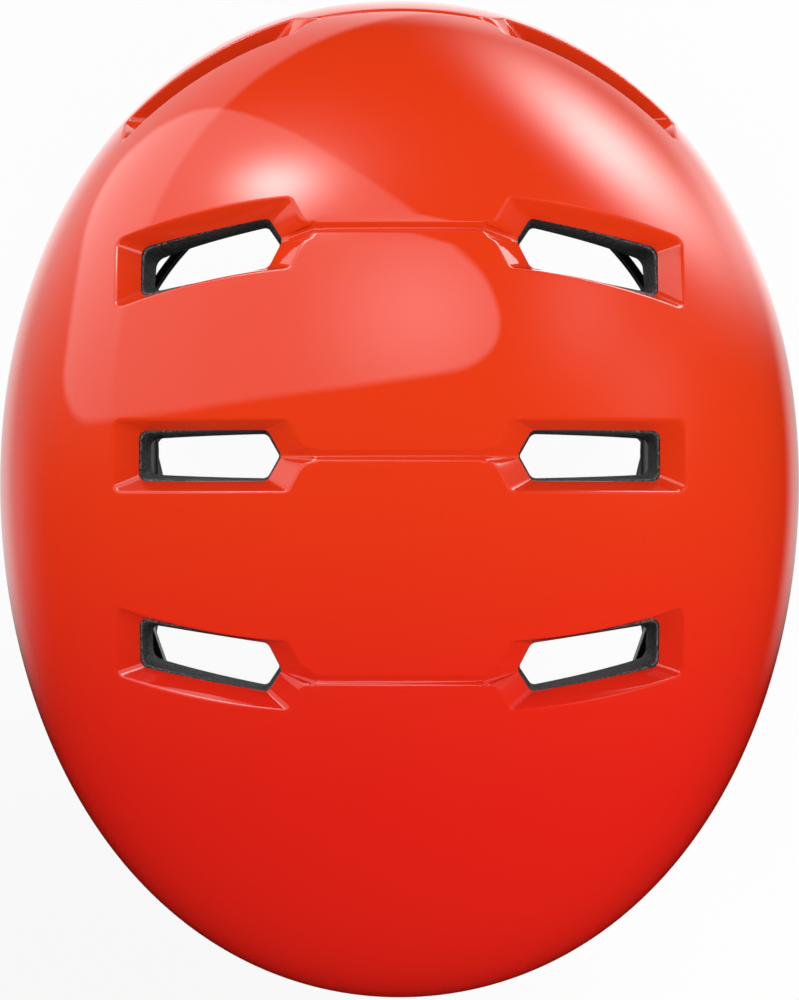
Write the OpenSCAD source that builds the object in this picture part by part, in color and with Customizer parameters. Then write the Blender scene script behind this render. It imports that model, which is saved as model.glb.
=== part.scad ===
// Round urban bicycle helmet with ten recessed vents, a dial-adjusted head ring and a chin strap.
// The origin is the centre of the head opening at the height of the brow edge.
// +X is the wearer's right, +Y the front and +Z up.

/* [Shell] */
// Overall length of the shell, front to back
helmet_length = 275; // [262:1:290]
// Overall width of the shell
helmet_width = 220; // [210:1:232]
// Height of the crown above the brow edge
crown_height = 130; // [124:1:138]
// Height of the widest level above the brow edge
widest_height = 22; // [18:1:26]
// Thickness of the moulded outer shell
shell_wall = 2; // [1.6:0.1:2.6]
// Thickness of the foam liner at the widest level
liner_wall = 22.5; // [20:0.5:25]
// How far the edge rises over the ears
ear_rise = 12; // [8:1:15]
// How far the edge drops at the nape
nape_drop = 34; // [28:1:40]
// Thickness of the edge trim
trim_thickness = 2.2; // [1.6:0.1:3]
// How far the edge trim reaches under the liner
trim_reach = 9; // [6:0.5:12]

/* [Vents] */
// Half the width of a vent opening across its length
opening_half = 6.5; // [5:0.25:7.5]
// Width of the bevel along the long sides of a vent
bevel = 2.8; // [2.2:0.1:3.4]
// How deep a vent opening lies below the shell surface
vent_depth = 5; // [4:0.25:6]
// Where the outer end of an opening lies, from the middle plane
opening_outer = 67.9; // [64:0.1:69]
// Where the inner corners of an opening lie, from the middle plane
opening_inner = 34.2; // [32:0.1:38]
// Where the outer end of a recess lies, from the middle plane
recess_outer = 74.8; // [73:0.1:76]
// Where the inner corners of a recess lie, from the middle plane
recess_inner = 28.4; // [26:0.1:30]
// How far the pointed nose of an opening stands out past its inner corners
opening_nose = 3.3; // [2:0.1:4]
// How far the pointed nose of a recess stands out past its inner corners
recess_nose = 4; // [3:0.1:5]
// Corner radius of openings and recesses
vent_corner = 2; // [1:0.1:2.4]
// Radius of the groove tool that joins two recesses over the crown
groove_radius = 1.3; // [1:0.1:1.6]
// Depth of that groove
groove_depth = 1; // [0.6:0.1:1.2]
// Taper of the foam behind the openings, in degrees
foam_draft = 3; // [1:0.5:4]

/* [Head ring] */
// Room between the side of the head ring and the foam
ring_side_gap = 6; // [5:0.5:9]
// Room between the front of the ring and the foam, for the brow pad
ring_front_gap = 20.4; // [18:0.2:24]
// Height of the ring band
ring_height = 15; // [12:0.5:17]
// Thickness of the ring band
ring_thickness = 2; // [1.6:0.1:2.4]
// Length of a slot in the ring
ring_slot = 13; // [9:0.5:14]
// Height of a slot in the ring
ring_slot_height = 5; // [3:0.5:6]
// Height of the flexible side bands
band_height = 12; // [10:0.5:13]

/* [Dial cradle] */
// How far the dial axis lies below the brow edge
dial_drop = 54; // [52:1:60]
// Room between the rack layer and the foam behind the head
rack_gap = 20.6; // [18:0.2:23]
// Gear module of the pinion and the racks
gear_module = 1; // [0.9:0.05:1]
// Number of pinion teeth
pinion_teeth = 10; // [10:2:10]
// Travel of each rack inside the cradle
rack_travel = 12; // [8:1:12]
// Thickness of the racks
rack_thickness = 2.4; // [2:0.1:2.8]
// Height of a rack bar above its teeth
rack_bar = 3; // [2.5:0.1:3.4]
// Radius of the dial knob
dial_radius = 14.5; // [14:0.25:16]
// Thickness of the dial knob
dial_thickness = 8; // [7:0.5:10]
// Half the width of the cradle housing
housing_half = 22; // [21:0.5:24]
// Wall thickness of the cradle housing
housing_wall = 2.4; // [2:0.1:2.8]

/* [Straps] */
// Width of the webbing
strap_width = 15; // [13:0.5:16]
// Thickness of the webbing
strap_thickness = 1.6; // [1.2:0.1:1.8]
// Thickness of the divider base plate
divider_plate = 1.6; // [1.4:0.1:2]
// Thickness of the divider flap
flap_thickness = 2; // [1.6:0.1:2.4]
// Thickness of the chin pad
chin_pad_thickness = 5; // [3:0.5:6]

/* [Pads] */
// Thickness of the comfort pads
pad_thickness = 7; // [5:0.5:8]
// Thickness of the brow pad
brow_pad_thickness = 9; // [6:0.5:10]

/* [Hidden] */

// Running clearance of shafts, and the gap between pieces that lie against each other
running_gap = 0.08;
seat_gap = 0.3;

shell_red = [0.88, 0.15, 0.08];
foam_grey = [0.2, 0.21, 0.22];
plastic_black = [0.1, 0.1, 0.11];
plastic_grey = [0.3, 0.31, 0.33];
webbing_grey = [0.22, 0.22, 0.23];
pad_grey = [0.16, 0.16, 0.18];
steel = [0.75, 0.76, 0.78];

// Shape of the dome. Fullness squares up its profile and squareness its plan.
half_width = helmet_width / 2;
half_length = helmet_length / 2;
crown_rise = crown_height - widest_height;
dome_centre_y = -3.1;
fullness = 0.025;
squareness = 0.0155;
front_taper = 0.0262;
shell_skirt = 1.1;
cavity_skirt = 6;
liner_gap = 0.5;
liner_out = shell_wall + liner_gap;
liner_in = liner_out + liner_wall;
dome_columns = 48;
dome_rows = 12;

function mix(a, b, t) = a + (b - a) * t;
function unit(v) = v / norm(v);
function ease(t) = let (c = min(max(t, 0), 1)) c * c * (3 - 2 * c);

// Height factor below the widest level, where a skirt lets the wall run down more steeply
function skirted(z, skirt) = z + skirt * pow(min(z, 0), 3);
function unskirted(h, skirt, z, steps) =
    steps == 0 ? z : unskirted(h, skirt,
        z - (skirted(z, skirt) - h) / (1 + 3 * skirt * pow(min(z, 0), 2)), steps - 1);

function dome_factor(polar) = 1 + fullness * pow(sin(2 * polar), 2);
function plan_factor(turn) = 1 + squareness * pow(sin(2 * turn), 2);

// Point of the dome at a polar angle from the crown and a turn from +X, moved in by inset
function dome_point(polar, turn, inset, skirt = shell_skirt) =
    let (f = dome_factor(polar),
         reach = sin(polar) * f * plan_factor(turn),
         xn = reach * cos(turn),
         yn = reach * sin(turn))
    [(half_width - inset) * (1 + front_taper * yn) * xn,
     dome_centre_y + (half_length - inset) * yn,
     widest_height + (crown_rise - inset) * skirted(cos(polar) * f, skirt)];

// Below 0 inside the dome and above 0 outside
function dome_level(p, inset, skirt) =
    let (h = (p.z - widest_height) / (crown_rise - inset),
         zn = unskirted(h, skirt, h, 5),
         yn = (p.y - dome_centre_y) / (half_length - inset),
         xn = p.x / ((half_width - inset) * (1 + front_taper * yn)),
         reach = norm([xn, yn]) / plan_factor(atan2(yn, xn)))
    norm([reach, zn]) / dome_factor(atan2(reach, zn)) - 1;

// Height of the edge at a turn, and the polar angle at which the dome reaches it
function edge_height(turn) =
    let (s = sin(turn))
    s > 0 ? mix(ear_rise, 0, ease(s / 0.8)) : mix(ear_rise, -nape_drop, ease(-s / 0.75));
function edge_polar(turn, inset, skirt, polar = 95, steps = 6) =
    steps == 0 ? polar :
    let (h = (edge_height(turn) - widest_height) / (crown_rise - inset),
         zn = unskirted(h, skirt, h, 5))
    edge_polar(turn, inset, skirt, acos(zn / dome_factor(polar)), steps - 1);

// Solid through a list of closed loops, with a tip at each end.
// The loops run counter-clockwise when they are seen from the first tip.
module loft(loops, first_tip, last_tip) {
    sides = len(loops[0]);
    count = len(loops);
    points = concat([first_tip], [for (loop = loops) each loop], [last_tip]);
    last = len(points) - 1;
    polyhedron(points, concat(
        [for (i = [0:sides - 1]) [0, 1 + (i + 1) % sides, 1 + i]],
        [for (k = [0:count - 2]) for (i = [0:sides - 1])
            let (a = 1 + k * sides + i, b = 1 + k * sides + (i + 1) % sides)
            each [[a, b, b + sides], [a, b + sides, a + sides]]],
        [for (i = [0:sides - 1])
            [last - sides + i, last - sides + (i + 1) % sides, last]]));
}

function middle(loop) = [for (p = loop) 1] * loop / len(loop);

module loft_loops(loops) {
    loft(loops, middle(loops[0]), middle(loops[len(loops) - 1]));
}

// Turn of a column of dome points
function column_turn(i) = 360 * i / dome_columns;
// Wall between two dome surfaces, open at the edge
module dome_wall(outer, outer_skirt, inner, inner_skirt) {
    function ring(k, inset, skirt) =
        [for (i = [0:dome_columns - 1]) let (turn = column_turn(i))
            dome_point(edge_polar(turn, inset, skirt) * k / dome_rows, turn, inset, skirt)];
    loft(concat([for (k = [1:dome_rows]) ring(k, outer, outer_skirt)],
                [for (k = [dome_rows:-1:1]) ring(k, inner, inner_skirt)]),
        dome_point(0, 0, outer, outer_skirt), dome_point(0, 0, inner, inner_skirt));
}

// Vent rows, front to back. Each is cut along its own direction, tilted forward from the vertical:
// [tilt, offset of the row across that direction, slope, lean of the recess, bow, width factor]
VENT_ROWS = [
    [65, 20.2, 0.184, 0, 0, 0.88],
    [0, 63.1, 0.205, 1.6, 0.6, 1],
    [0, 11, 0, 0, 0, 1],
    [0, -40.9, -0.177, -1.4, -0.6, 0.97],
    [-90, -6, 0, 0, 0, 1]
];
vent_middle = 50;
vent_span = 20;
groove_half = sqrt(pow(groove_radius, 2) - pow(groove_radius - groove_depth, 2));
side_steps = 3;
corner_steps = 1;

function tilted(u, v, w, tilt) =
    [u, dome_centre_y + v * cos(tilt) + w * sin(tilt), widest_height - v * sin(tilt) + w * cos(tilt)];
function depth_to_dome(u, v, tilt, inset, skirt, low, high, steps) =
    steps == 0 ? (low + high) / 2 :
    let (mid = (low + high) / 2)
    dome_level(tilted(u, v, mid, tilt), inset, skirt) > 0
        ? depth_to_dome(u, v, tilt, inset, skirt, low, mid, steps - 1)
        : depth_to_dome(u, v, tilt, inset, skirt, mid, high, steps - 1);
function on_dome(u, v, tilt, inset, skirt = shell_skirt) =
    tilted(u, v, depth_to_dome(u, v, tilt, inset, skirt, 0, helmet_length, 22), tilt);

function corner_arc(a, b, c) =
    b.z == 0 ? [[b.x, b.y]] :
    let (p = [b.x, b.y],
         to_a = unit([a.x, a.y] - p),
         to_c = unit([c.x, c.y] - p),
         half = acos(to_a * to_c) / 2,
         centre = p + unit(to_a + to_c) * b.z / sin(half),
         from = p + to_a * b.z / tan(half) - centre,
         to = p + to_c * b.z / tan(half) - centre,
         start = atan2(from.y, from.x),
         turn = (atan2(to.y, to.x) - start + 540) % 360 - 180)
    [for (k = [0:corner_steps]) let (a = start + turn * k / corner_steps) centre + b.z * [cos(a), sin(a)]];

// Closed outline of a slot with two outer corners and a pointed nose at its inner end
function slot_outline(half, outer, inner, nose, nose_half, corner) =
    let (corners = concat(
            [[outer, -half, corner], [outer, half, corner]],
            [for (k = [1:side_steps - 1]) [mix(outer, inner, k / side_steps), half, 0]],
            [[inner, half, corner], [nose, nose_half, 0], [nose, -nose_half, 0], [inner, -half, corner]],
            [for (k = [1:side_steps - 1]) [mix(inner, outer, k / side_steps), -half, 0]]),
         n = len(corners))
    [for (i = [0:n - 1]) each corner_arc(corners[(i + n - 1) % n], corners[i], corners[(i + 1) % n])];

function follow_row(row, outline, lean, bow) =
    [for (p = outline)
        [p.x, p.y + row[1] + lean + row[2] * (vent_middle - p.x)
            + bow * (1 - pow((p.x - vent_middle) / vent_span, 2))]];

function opening_outline(row, grow) =
    follow_row(row, slot_outline(opening_half * row[5] + grow, opening_outer + grow,
        opening_inner - grow * 0.6, opening_inner - opening_nose - grow, 0.6 + grow * 0.4,
        vent_corner + max(grow, 0)), 0, row[4] * 0.4);
function recess_outline(row, grow) =
    follow_row(row, slot_outline((opening_half + bevel) * row[5] + grow, recess_outer + grow,
        recess_inner - grow * 0.6, recess_inner - recess_nose - grow, groove_half + grow * 0.4,
        vent_corner + max(grow, 0)), row[3], row[4] * 2);

function drape(row, outline, inset) = [for (p = outline) on_dome(p.x, p.y, row[0], inset)];
function at_height(row, outline, w) = [for (p = outline) tilted(p.x, p.y, w, row[0])];

// The space of one recess and its opening, cut from outside to inside the shell
module vent_cut(row) {
    outer = recess_outline(row, 0);
    inner = opening_outline(row, 0);
    loft_loops([at_height(row, outer, helmet_length), drape(row, outer, 0),
        drape(row, inner, vent_depth), at_height(row, inner, widest_height)]);
}

// Body of the bevelled wall that lines a recess
module vent_bowl(row) {
    loft_loops([drape(row, recess_outline(row, shell_wall), shell_wall / 2),
        drape(row, opening_outline(row, shell_wall), vent_depth)]);
}

// Room in the foam for that wall
module vent_seat(row) {
    outer = recess_outline(row, liner_out);
    loft_loops([at_height(row, outer, helmet_length), drape(row, outer, shell_wall / 2),
        drape(row, opening_outline(row, liner_out), vent_depth + seat_gap)]);
}

// Tapered way through the foam behind an opening
module foam_way(row) {
    level = depth_to_dome(vent_middle, row[1], row[0], vent_depth, shell_skirt, 0, helmet_length, 22);
    rise = 2 * vent_depth;
    hull() {
        loft_loops([at_height(row, opening_outline(row, rise * tan(foam_draft)), level + rise + 0.01),
            at_height(row, opening_outline(row, rise * tan(foam_draft)), level + rise)]);
        loft_loops([at_height(row, opening_outline(row, -level * tan(foam_draft)), 0.01),
            at_height(row, opening_outline(row, -level * tan(foam_draft)), 0)]);
    }
}

module both_sides() {
    children();
    mirror([1, 0, 0]) children();
}

// Shallow groove over the crown from nose to nose
module crown_groove(row) {
    half = recess_inner - recess_nose + groove_radius;
    pieces = 4;
    v = row[1] + row[3] + row[2] * (vent_middle - half);
    for (k = [0:pieces - 1]) hull() for (end = [k, k + 1])
        translate(on_dome(mix(-half, half, end / pieces), v, row[0], groove_depth - groove_radius))
            rotate([0, 90, 0]) cylinder(r = groove_radius, h = 0.01, $fn = 6);
}

module outer_shell() color(shell_red) difference() {
    union() {
        dome_wall(0, shell_skirt, shell_wall, shell_skirt);
        for (row = VENT_ROWS) both_sides() vent_bowl(row);
    }
    for (row = VENT_ROWS) both_sides() vent_cut(row);
    for (row = VENT_ROWS) crown_groove(row);
}

module foam_liner() color(foam_grey) difference() {
    dome_wall(liner_out, shell_skirt, liner_in, cavity_skirt);
    for (row = VENT_ROWS) both_sides() {
        vent_seat(row);
        foam_way(row);
    }
    stud_holes();
    anchor_rooms();
}

// Rubber bead that closes the seam under the shell and the liner
trim_gap = 0.5;
module edge_trim() {
    t = trim_thickness;
    profile = [[0, 0], [trim_reach, 0], [trim_reach, -t], [0.8 * t, -t], [0.25 * t, -0.75 * t]];
    points = [for (i = [0:dome_columns - 1]) for (q = profile) let (turn = column_turn(i))
        dome_point(edge_polar(turn, q.x, shell_skirt), turn, q.x) + [0, 0, q.y - trim_gap]];
    sides = len(profile);
    color(plastic_black) polyhedron(points,
        [for (i = [0:dome_columns - 1]) for (k = [0:sides - 1])
            let (next = (i + 1) % dome_columns, a = i * sides + k, b = i * sides + (k + 1) % sides,
                 c = next * sides + (k + 1) % sides, d = next * sides + k)
            each [[a, b, c], [a, c, d]]]);
}

// Cushion with a crown and drawn-in sides. place(s, t, h) gives the point at s and t from -1 to 1
// on the face that carries it, at height h above that face.
module cushion(place, thickness) {
    sides = 24;
    levels = [0.35, 0.7, 0.9, 1];
    function spot(r, i, h) =
        let (a = 360 * i / sides,
             square = 1 / pow(pow(abs(cos(a)), 5) + pow(abs(sin(a)), 5), 0.2))
        place(r * square * cos(a), r * square * sin(a), h);
    function crown(r) = thickness * sqrt(max(1 - pow(r, 4), 0.05));
    top = [for (r = levels) [for (i = [0:sides - 1]) spot(r, i, crown(r))]];
    side = [[for (i = [0:sides - 1]) spot(0.97, i, 0)]];
    base = [[for (i = [0:sides - 1]) spot(0.5, i, 0)]];
    loft(concat(top, side, base), place(0, 0, crown(0)), place(0, 0, 0));
}

// The pads stand off the foam by their hook fasteners
pad_fastener = 1;
pad_base = liner_in + pad_fastener;

module dome_cushion(polar, polar_half, turn, turn_half, thickness) {
    cushion(function (s, t, h) dome_point(polar + polar_half * t, turn + turn_half * s,
        pad_base + h, cavity_skirt), thickness);
}

module brow_pad() color(pad_grey) dome_cushion(84, 8, 90, 40, brow_pad_thickness);
module rear_pad() color(pad_grey) dome_cushion(68, 12, 270, 20, pad_thickness);
module side_pad() dome_cushion(68, 11, -2, 17, pad_thickness);
module right_side_pad() color(pad_grey) side_pad();
module left_side_pad() color(pad_grey) mirror([1, 0, 0]) side_pad();

crown_pad_half = 24;
crown_pad_long = 62;
crown_pad_y = 10;

module crown_pad() color(pad_grey)
    cushion(function (s, t, h)
        on_dome(crown_pad_half * s, crown_pad_y - crown_pad_long * t, 0, pad_base + h, cavity_skirt),
        pad_thickness);

// Head ring. Its plan is a superellipse in front of its centre, and its tails run back from there.
ring_centre_y = 9;
ring_rear_gap = 4.5;
ring_half_width = half_width - liner_in - ring_side_gap;
ring_front = half_length - liner_in + dome_centre_y - ring_centre_y - ring_front_gap;
ring_rear = half_length - liner_in - ring_rear_gap;
rack_back = half_length - dome_centre_y - liner_in - rack_gap;
ring_power = 2.2;
ring_tail = 14;
ring_low = 6;
ring_brow = 15;
ring_step = 6.5;
ring_slot_turns = [38, 52, 65, 78];

function ring_plan(turn, long) =
    let (c = cos(turn), s = sin(turn))
    [ring_half_width * sign(c) * pow(abs(c), 2 / ring_power),
     ring_centre_y + long * sign(s) * pow(abs(s), 2 / ring_power)];
// Point at mid height of the ring's inner face, and the direction out of it
function ring_spot(turn) =
    let (p = ring_plan(turn, sin(turn) > 0 ? ring_front : ring_rear))
    [p.x, p.y, mix(ring_low, ring_brow, ease((sin(turn) + 0.25) / 1.1))];
function ring_out(turn) =
    let (d = ring_spot(turn + 0.5) - ring_spot(turn - 0.5)) unit([d.y, -d.x, 0]);

// Flat band through a list of stations: [centre, direction across its width, thickness direction]
module band(stations, width, thickness) {
    loft_loops([for (s = stations)
        [for (q = [[-1, -1], [-1, 1], [1, 1], [1, -1]])
            s[0] + s[1] * q.x * width / 2 + s[2] * q.y * thickness / 2]]);
}

// Places on the ring with their own z pointing out of it
module ring_places(turns) for (turn = turns)
    translate(ring_spot(turn)) rotate([0, 90, atan2(ring_out(turn).y, ring_out(turn).x)]) children();
function both_turns(turns) = concat(turns, [for (turn = turns) 180 - turn]);

module front_ring() color(plastic_black) difference() {
    band([for (turn = [-ring_tail:ring_step:180 + ring_tail + 0.1])
        [ring_spot(turn) + ring_out(turn) * ring_thickness / 2, [0, 0, 1], ring_out(turn)]],
        ring_height, ring_thickness);
    ring_places(both_turns(ring_slot_turns)) hull() for (side = [-1, 1])
        translate([0, side * (ring_slot - ring_slot_height) / 2, 0])
            cylinder(d = ring_slot_height, h = 4 * ring_thickness, center = true, $fn = 12);
    ring_places(both_turns(concat(stud_turns, [rivet_turn])))
        cylinder(r = stud_radius + running_gap, h = 4 * ring_thickness, center = true, $fn = 16);
}

// Studs that hold the ring to the liner at the temples, with collars as spacers
stud_radius = 1.6;
stud_head = 4;
stud_head_height = 1.2;
stud_play = 0.4;
stud_collar = 3;
stud_grip = 5;
stud_turns = [17, 26];
rivet_turn = -10;

// Distance straight out from a point to the cavity wall of the liner
function wall_gap(p, out, low = 0, high = 40, steps = 20) =
    let (mid = (low + high) / 2)
    steps == 0 ? mid :
    dome_level(p + out * mid, liner_in, cavity_skirt) > 0
        ? wall_gap(p, out, low, mid, steps - 1) : wall_gap(p, out, mid, high, steps - 1);

module stud_holes() {
    for (turn = both_turns(stud_turns)) ring_places([turn]) {
        gap = wall_gap(ring_spot(turn), ring_out(turn));
        cylinder(r = stud_radius + seat_gap, h = gap + stud_grip + seat_gap, $fn = 24);
    }
    at_hanger_stud() cylinder(r = stud_radius + seat_gap, h = 2 * stud_grip, $fn = 24);
}
module liner_studs() color(plastic_grey) {
    for (turn = both_turns(stud_turns)) ring_places([turn]) {
        gap = wall_gap(ring_spot(turn), ring_out(turn));
        translate([0, 0, -stud_head_height - stud_play])
            cylinder(r = stud_head, h = stud_head_height, $fn = 32);
        translate([0, 0, -stud_head_height]) cylinder(r = stud_radius, h = gap + stud_grip, $fn = 24);
        translate([0, 0, ring_thickness + stud_play])
            cylinder(r = stud_collar, h = gap - ring_thickness - 3 * stud_play, $fn = 32);
    }
    at_hanger_stud() {
        translate([0, 0, -ring_thickness / 2 - stud_head_height - seat_gap])
            cylinder(r = stud_head, h = stud_head_height, $fn = 32);
        translate([0, 0, -ring_thickness])
            cylinder(r = stud_radius, h = stud_grip + ring_thickness, $fn = 24);
    }
}

// Cubic curve with four control points
function curve(c, t) = let (s = 1 - t)
    s * s * s * c[0] + 3 * t * s * s * c[1] + 3 * t * t * s * c[2] + t * t * t * c[3];
// Direction across a band that runs along d, as close to up as it can be
function across(d, up) = unit(up - d * (up * d));

// Place of the dial axis. Its own x runs with the wearer's right, its y up and its z to the rear.
pitch_radius = gear_module * pinion_teeth / 2;
rack_root = pitch_radius + 1.1 * gear_module;
rack_top = rack_root + rack_bar;
yoke_start = housing_half + rack_travel + 1;
yoke_end = yoke_start + 6;
yoke_low = rack_top - band_height - 3;
band_drop = (rack_top + yoke_low) / 2;

// Levels of the cradle along the dial axis, from the rack layer to the rear
cavity_depth = rack_thickness + 2 * seat_gap;
cover_back = cavity_depth / 2 + housing_wall;
detent_height = 2.2;
knob_front = cover_back + detent_height + seat_gap;
shaft_radius = 3;
pivot_radius = 1.6;
hex_radius = 2.8;
screw_radius = 1.1;
housing_tall = rack_top + seat_gap + housing_wall;
housing_corner = 4;
plate_top = 19;
screw_x = housing_half - 3.4;
screw_head = 2.2;
through = 30;

module at_cradle() translate([0, -rack_back, -dial_drop]) rotate([90, 0, 0]) children();

// Flexible side band from the ring tail to the rack yoke. side is 1 on the right and -1 on the left.
band_tail_turn = -7;
band_pieces = 12;
function band_route(side) =
    let (start = ring_spot(band_tail_turn) - ring_out(band_tail_turn) * (ring_thickness / 2 + seat_gap),
         end = [yoke_end + seat_gap, -rack_back, -dial_drop + side * band_drop])
    [start, start + [-2.5, -26, -6], end + [16, 7, 5], end];
function route_run(route, t) = unit(curve(route, min(t + 0.01, 1)) - curve(route, max(t - 0.01, 0)));
module ring_band(side) {
    route = band_route(side);
    stations = [for (k = [0:band_pieces])
        let (t = k / band_pieces,
             run = k == band_pieces ? [-1, 0, 0] : route_run(route, t),
             up = across(run, [0, 0, 1]))
        [curve(route, t), up, cross(run, up)]];
    color(plastic_grey) mirror([side < 0 ? 1 : 0, 0, 0]) difference() {
        band(stations, band_height, ring_thickness);
        ring_places([rivet_turn])
            cylinder(r = stud_radius + running_gap, h = 6 * ring_thickness, center = true, $fn = 24);
    }
}
module right_ring_band() ring_band(1);
module left_ring_band() ring_band(-1);

// Rivets that join the side bands to the tails of the ring
module band_rivets() color(plastic_grey) ring_places(both_turns([rivet_turn])) {
    translate([0, 0, ring_thickness + seat_gap / 3])
        cylinder(r = stud_head, h = stud_head_height, $fn = 32);
    translate([0, 0, -ring_thickness - 3 * seat_gap])
        cylinder(r = stud_radius, h = 2 * ring_thickness + 4 * seat_gap, $fn = 24);
}

// Strap that hangs the cradle from the liner, with a stud at its top and a rivet at its foot
hanger_width = 14;
hanger_lap = 6;
hanger_rise = 18;
hanger_pieces = 8;
hanger_stud_at = 0.1;
hanger_route = let (
    top = dome_point(edge_polar(270, liner_in, cavity_skirt) - hanger_rise, 270,
        pad_base + ring_thickness / 2, cavity_skirt),
    foot = [0, -rack_back + cavity_depth / 2 - seat_gap - ring_thickness / 2,
        -dial_drop + plate_top - hanger_lap])
    [top, top + [0, 1.5, -hanger_rise], foot + [0, 0, 16], foot];

// Place of the hanger's stud, with its own z to the rear
module at_hanger_stud() {
    run = route_run(hanger_route, hanger_stud_at);
    translate(curve(hanger_route, hanger_stud_at)) rotate([atan2(-run.z, -run.y), 0, 0]) children();
}
module cradle_hanger() color(plastic_grey) difference() {
    band([for (k = [0:hanger_pieces])
        let (t = k / hanger_pieces, run = route_run(hanger_route, t))
        [curve(hanger_route, t), [1, 0, 0], cross(run, [1, 0, 0])]], hanger_width, ring_thickness);
    at_hanger_stud() cylinder(r = stud_radius + running_gap, h = 4 * ring_thickness, center = true, $fn = 24);
    at_hanger_rivet()
        cylinder(r = stud_radius + running_gap, h = 4 * ring_thickness, center = true, $fn = 24);
}

// Rivet through the hanger's foot and the cradle's back plate
rivet_head = 2.6;
module at_hanger_rivet() at_cradle() translate([0, plate_top - hanger_lap / 2, -cavity_depth / 2]) children();
module hanger_rivet() color(plastic_grey) at_hanger_rivet() {
    translate([0, 0, -housing_wall - 1]) cylinder(r = rivet_head, h = 1, $fn = 32);
    translate([0, 0, -housing_wall - 0.5])
        cylinder(r = stud_radius, h = housing_wall + cavity_depth + 1, $fn = 24);
    translate([0, 0, cavity_depth]) cylinder(r = rivet_head, h = 1, $fn = 32);
}

// Toothed rack. Its teeth point down to the pinion and its yoke carries a side band.
flank = 30;
backlash = 0.16;
addendum = 0.85 * gear_module;
pitch = PI * gear_module;
rack_lead = 1.75 * pitch;
// Outline of one tooth, from its root on the right to its root on the left
function rack_tooth(x) =
    let (half = pitch / 4 - backlash / 2,
         root = half + (rack_root - pitch_radius) * tan(flank),
         tip = half - addendum * tan(flank),
         low = pitch_radius - addendum)
    [[x + root, rack_root], [x + tip, low], [x - tip, low], [x - root, rack_root]];
module rack() linear_extrude(rack_thickness, center = true) polygon(concat(
    [[-rack_lead, rack_root], [-rack_lead, rack_top], [yoke_end, rack_top], [yoke_end, yoke_low],
     [yoke_start, yoke_low], [yoke_start, rack_root]],
    [for (k = [floor(rack_travel / pitch) + 2:-1:-1]) each rack_tooth(k * pitch)]));
module right_rack() color(plastic_grey) at_cradle() rack();
module left_rack() color(plastic_grey) at_cradle() rotate([0, 0, 180]) rack();

// Involute pinion that meshes with both racks
base_radius = pitch_radius * cos(flank);
function involute(r) = let (a = acos(base_radius / r)) tan(a) - a * PI / 180;
function flank_point(r, side, centre) =
    let (half = (pitch / 4 - backlash / 2) / pitch_radius * 180 / PI,
         a = centre + side * (half + (involute(pitch_radius) - involute(max(r, base_radius))) * 180 / PI))
    [r * cos(a), r * sin(a)];
module pinion_profile() {
    low = pitch_radius - 1.1 * gear_module;
    radii = [low, base_radius + 0.02, pitch_radius, pitch_radius + addendum];
    polygon([for (k = [0:pinion_teeth - 1]) let (c = 360 * k / pinion_teeth) each concat(
        [for (r = radii) flank_point(r, -1, c)],
        [for (i = [3:-1:0]) flank_point(radii[i], 1, c)])]);
}

module rounded_square(half_w, half_h, r) {
    square([2 * half_w, 2 * (half_h - r)], center = true);
    square([2 * (half_w - r), 2 * half_h], center = true);
    for (x = [-1, 1]) for (y = [-1, 1]) translate([x * (half_w - r), y * (half_h - r)]) circle(r, $fn = 32);
}

// Inner half of the cradle: a plate with a neck for the hanger and two wings, which carries the pad
// and the pinion's pivot
neck_half_width = 9;
neck_tall = 12;
wing_half = 6;
wing_hole = 2.4;
pivot_seat = 1.6;
module cradle_back() color(plastic_black) at_cradle() difference() {
    translate([0, 0, -cavity_depth / 2 - housing_wall]) linear_extrude(housing_wall) {
        rounded_square(housing_half, housing_tall, housing_corner);
        translate([0, plate_top - neck_tall]) rounded_square(neck_half_width, neck_tall, housing_corner);
        for (x = [-1, 1]) translate([x * (housing_half - wing_half), wing_half])
            rounded_square(wing_half, plate_top - wing_half - 2, wing_half - 1);
    }
    translate([0, 0, -cavity_depth / 2 - pivot_seat])
        cylinder(r = pivot_radius + running_gap, h = pivot_seat + 0.4, $fn = 32);
    for (x = [-1, 1]) translate([x * (housing_half - wing_half), 2 * wing_half, 0])
        cylinder(r = wing_hole, h = through, center = true, $fn = 32);
    screw_places() cylinder(r = screw_radius, h = through, center = true, $fn = 24);
    translate([0, plate_top - hanger_lap / 2, 0])
        cylinder(r = stud_radius + running_gap, h = through, center = true, $fn = 24);
}

module screw_places() for (x = [-1, 1]) translate([x * screw_x, 0, 0]) children();

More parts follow.
